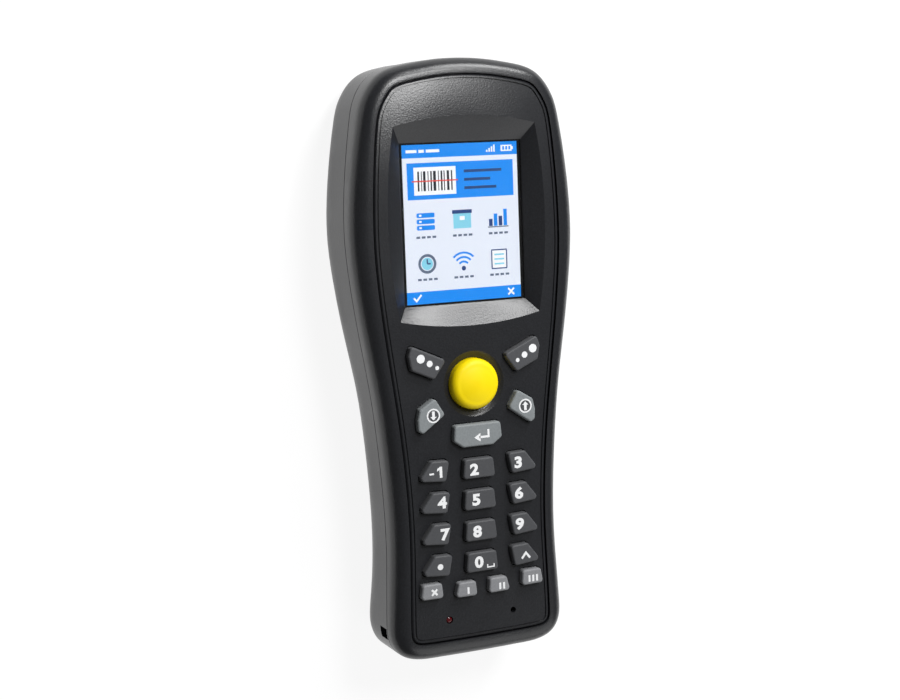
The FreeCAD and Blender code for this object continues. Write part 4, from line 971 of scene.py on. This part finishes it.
def soft_box(name, place_at, side, level):
    """A square lamp that faces the terminal and looks as bright as its level says."""
    data = bpy.data.lights.new(name, "AREA")
    data.shape = "SQUARE"
    data.size = side
    data.energy = level * math.pi * side**2
    lamp = bpy.data.objects.new(name, data)
    facing = (STAGE_MIDDLE - Vector(place_at)).to_track_quat("-Z", "Y").to_matrix().to_4x4()
    lamp.matrix_world = Matrix.Translation(place_at) @ facing
    bpy.context.scene.collection.objects.link(lamp)


def seen_or_mirrored(tree):
    """1 for rays that reach the eye straight, from a mirror or through glass."""
    path = add_node(tree, "ShaderNodeLightPath").outputs
    first = add_node(
        tree,
        "ShaderNodeMath",
        {0: path["Is Camera Ray"], 1: path["Is Glossy Ray"]},
        operation="MAXIMUM",
    )
    both = add_node(
        tree,
        "ShaderNodeMath",
        {0: first.outputs[0], 1: path["Is Transmission Ray"]},
        operation="MAXIMUM",
    )
    return both.outputs[0]


def white_world(level):
    world = bpy.context.scene.world or bpy.data.worlds.new("studio")
    bpy.context.scene.world = world
    world.use_nodes = True
    tree = world.node_tree
    tree.nodes.clear()
    path = add_node(tree, "ShaderNodeLightPath").outputs
    even = add_node(tree, "ShaderNodeBackground", {"Color": (1, 1, 1, 1), "Strength": level})
    seen = add_node(tree, "ShaderNodeBackground", {"Color": (1, 1, 1, 1), "Strength": 1.0})
    mix = add_node(tree, "ShaderNodeMixShader", {0: path["Is Camera Ray"]})
    tree.links.new(even.outputs[0], mix.inputs[1])
    tree.links.new(seen.outputs[0], mix.inputs[2])
    output = add_node(tree, "ShaderNodeOutputWorld")
    tree.links.new(mix.outputs[0], output.inputs["Surface"])


def paper_sweep(name):
    """White background paper: matt, lifted to white where it is seen, with the shadow kept."""
    material = bpy.data.materials.new(name)
    material.use_nodes = True
    tree = material.node_tree
    tree.nodes.clear()
    paper = add_node(tree, "ShaderNodeBsdfDiffuse", {"Color": linear("#E6E6E6")})
    thin = add_node(tree, "ShaderNodeBsdfDiffuse", {"Color": linear("#6E6E6E")})
    lift = add_node(tree, "ShaderNodeEmission", {"Color": (1, 1, 1, 1), "Strength": 0.9})
    lifted = add_node(tree, "ShaderNodeAddShader")
    tree.links.new(thin.outputs[0], lifted.inputs[0])
    tree.links.new(lift.outputs[0], lifted.inputs[1])
    mix = add_node(tree, "ShaderNodeMixShader", {0: seen_or_mirrored(tree)})
    tree.links.new(paper.outputs[0], mix.inputs[1])
    tree.links.new(lifted.outputs[0], mix.inputs[2])
    output = add_node(tree, "ShaderNodeOutputMaterial")
    tree.links.new(mix.outputs[0], output.inputs["Surface"])
    return material


# Half of the paper's side in metres, and how far below the terminal it lies
FLOOR_REACH = 3.0
FLOOR_GAP = 0.05 * MM


def lay_floor():
    mesh = bpy.data.meshes.new("paper_floor")
    reach = FLOOR_REACH
    level = CAD_BOUNDS[0][2] - FLOOR_GAP
    corners = [(-reach, -reach), (reach, -reach), (reach, reach), (-reach, reach)]
    mesh.from_pydata([(x, y, level) for x, y in corners], [], [(0, 1, 2, 3)])
    mesh.materials.append(paper_sweep("matt background paper"))
    floor = bpy.data.objects.new("paper_floor", mesh)
    bpy.context.scene.collection.objects.link(floor)


# Operators


class TERMINAL_OT_housing(bpy.types.Operator):
    """Finishes the shells, the face panel, the battery door and the case screws"""

    bl_idname = "terminal.housing"
    bl_label = "Housing"

    def execute(self, context):
        colours = context.scene.terminal_colours
        grain = context.scene.terminal_sizes.grain / MM
        front = spark_textured_abs("ABS, spark-textured mould, black", tuple(colours.front), grain)
        back = spark_textured_abs("ABS, spark-textured mould, soft black", tuple(colours.back), grain)
        panel = crowned_abs(
            "ABS, spark-textured mould, black face",
            tuple(colours.front),
            grain,
            context.scene.terminal_sizes.crown / MM,
        )
        dress(["front_case"], front)
        dress(["face_panel"], panel)
        dress(["rear_case", "battery_door"], back)
        dress(["case_screws"], zinc_plated_steel("screw steel, zinc plated"))
        soften(["front_case", "rear_case", "battery_door", "case_screws"], 30)
        soften(["face_panel"], 24)
        return {"FINISHED"}


class TERMINAL_OT_windows(bpy.types.Operator):
    """Finishes the display window, the display glass, the reading window and the light"""

    bl_idname = "terminal.windows"
    bl_label = "Windows"

    def execute(self, context):
        dress(["display_window"], polished_sheet("acrylic sheet, hard coated", (1, 1, 1, 1), 1.0))
        red = linear("#7A0A12")
        dress(["scan_window"], polished_sheet("acrylic sheet, red filter", red, 0.9))
        dress(["lcd_panel"], display_glass("display glass, black edge print"))
        dress(["indicator_led"], tinted_lens("epoxy lens, red tint", linear("#5E0A12")))
        soften(["indicator_led"], 30)
        return {"FINISHED"}


class TERMINAL_OT_keys(bpy.types.Operator):
    """Finishes the keys"""

    bl_idname = "terminal.keys"
    bl_label = "Keys"

    def execute(self, context):
        colours = context.scene.terminal_colours
        dark = coated_silicone("silicone rubber, coated dark grey", tuple(colours.number_keys))
        dress([*NUMBER_KEYS, *DOTS_KEYS], dark)
        grey = coated_silicone("silicone rubber, coated mid grey", tuple(colours.grey_keys))
        dress(GREY_KEYS, grey)
        light = coated_silicone("silicone rubber, coated light grey", tuple(colours.function_keys))
        dress(FUNCTION_KEYS, light)
        soften([*NUMBER_KEYS, *DOTS_KEYS, *GREY_KEYS, *FUNCTION_KEYS], 30)
        yellow = satin_abs("ABS, satin moulded, yellow", tuple(colours.scan_key))
        grain = context.scene.terminal_sizes.grain / MM
        black = spark_textured_abs("ABS, spark-textured mould, collar", tuple(colours.front), grain)
        cap_scan_key(yellow, black)
        return {"FINISHED"}


class TERMINAL_OT_insides(bpy.types.Operator):
    """Finishes the board, the battery, the reading engine and what else is inside"""

    bl_idname = "terminal.insides"
    bl_label = "Insides"

    def execute(self, context):
        dress(["main_board"], solder_mask("glass epoxy board, green solder mask"))
        dress(["processor_shield", "radio_module"], tinned_sheet("steel sheet, tin plated"))
        dress(["memory_chip"], moulded_black("chip epoxy, moulded", 0.45))
        dress(["lcd_frame", "scan_engine", "buzzer"], moulded_black("glass-filled nylon, moulded"))
        dress(["lcd_gasket"], foam_rubber("closed-cell foam, die cut"))
        dress(["keypad_mat"], coated_silicone("silicone rubber, moulded grey", linear("#9A9C9E")))
        dress(["radio_antenna"], fired_ceramic("ceramic, fired and glazed"))
        dress(["battery"], shrink_film("PVC shrink film, dark"))
        dress(["battery_contacts"], gold_plate("spring bronze, gold plated"))
        steel = zinc_plated_steel("steel sheet, zinc plated")
        dress(["usb_port", "engine_bracket", "board_screws", "bracket_screws"], steel)
        return {"FINISHED"}


class TERMINAL_OT_legends(bpy.types.Operator):
    """Prints the figures and signs on the keys"""

    bl_idname = "terminal.legends"
    bl_label = "Key legends"

    def execute(self, context):
        print_legends(context.scene.terminal_colours, context.scene.terminal_sizes)
        return {"FINISHED"}


class TERMINAL_OT_picture(bpy.types.Operator):
    """Shows a plain menu page on the display"""

    bl_idname = "terminal.picture"
    bl_label = "Screen picture"

    def execute(self, context):
        show_picture(context.scene.terminal_colours, context.scene.terminal_sizes)
        return {"FINISHED"}


class TERMINAL_OT_studio(bpy.types.Operator):
    """Sets up the camera, the lamps, the world and the paper floor"""

    bl_idname = "terminal.studio"
    bl_label = "Studio"

    def execute(self, context):
        set_camera()
        white_world(WORLD_LEVEL)
        lay_floor()
        for name, (place_at, side, level) in SOFT_BOXES.items():
            soft_box(name, place_at, side, level)
        context.scene.view_settings.view_transform = "Standard"
        return {"FINISHED"}


class TERMINAL_PT_sidebar(bpy.types.Panel):
    """Lists the steps and the values that a user would change."""

    bl_label = "Data terminal"
    bl_idname = "TERMINAL_PT_sidebar"
    bl_space_type = "VIEW_3D"
    bl_region_type = "UI"
    bl_category = "Terminal"

    def draw(self, context):
        for step in STEPS:
            self.layout.operator(step.bl_idname)
        for group in (context.scene.terminal_colours, context.scene.terminal_sizes):
            column = self.layout.column(align=True)
            for name in group.__annotations__:
                column.prop(group, name)


STEPS = (
    TERMINAL_OT_studio,
    TERMINAL_OT_housing,
    TERMINAL_OT_windows,
    TERMINAL_OT_keys,
    TERMINAL_OT_insides,
    TERMINAL_OT_legends,
    TERMINAL_OT_picture,
)
CLASSES = (TerminalColours, TerminalSizes, *STEPS, TERMINAL_PT_sidebar)


def register():
    for item in CLASSES:
        bpy.utils.register_class(item)
    bpy.types.Scene.terminal_colours = bpy.props.PointerProperty(type=TerminalColours)
    bpy.types.Scene.terminal_sizes = bpy.props.PointerProperty(type=TerminalSizes)


def unregister():
    del bpy.types.Scene.terminal_sizes
    del bpy.types.Scene.terminal_colours
    for item in reversed(CLASSES):
        bpy.utils.unregister_class(item)


def main():
    register()
    bpy.ops.terminal.studio()
    bpy.ops.terminal.housing()
    bpy.ops.terminal.windows()
    bpy.ops.terminal.keys()
    bpy.ops.terminal.insides()
    bpy.ops.terminal.legends()
    bpy.ops.terminal.picture()


if __name__ == "__main__":
    main()
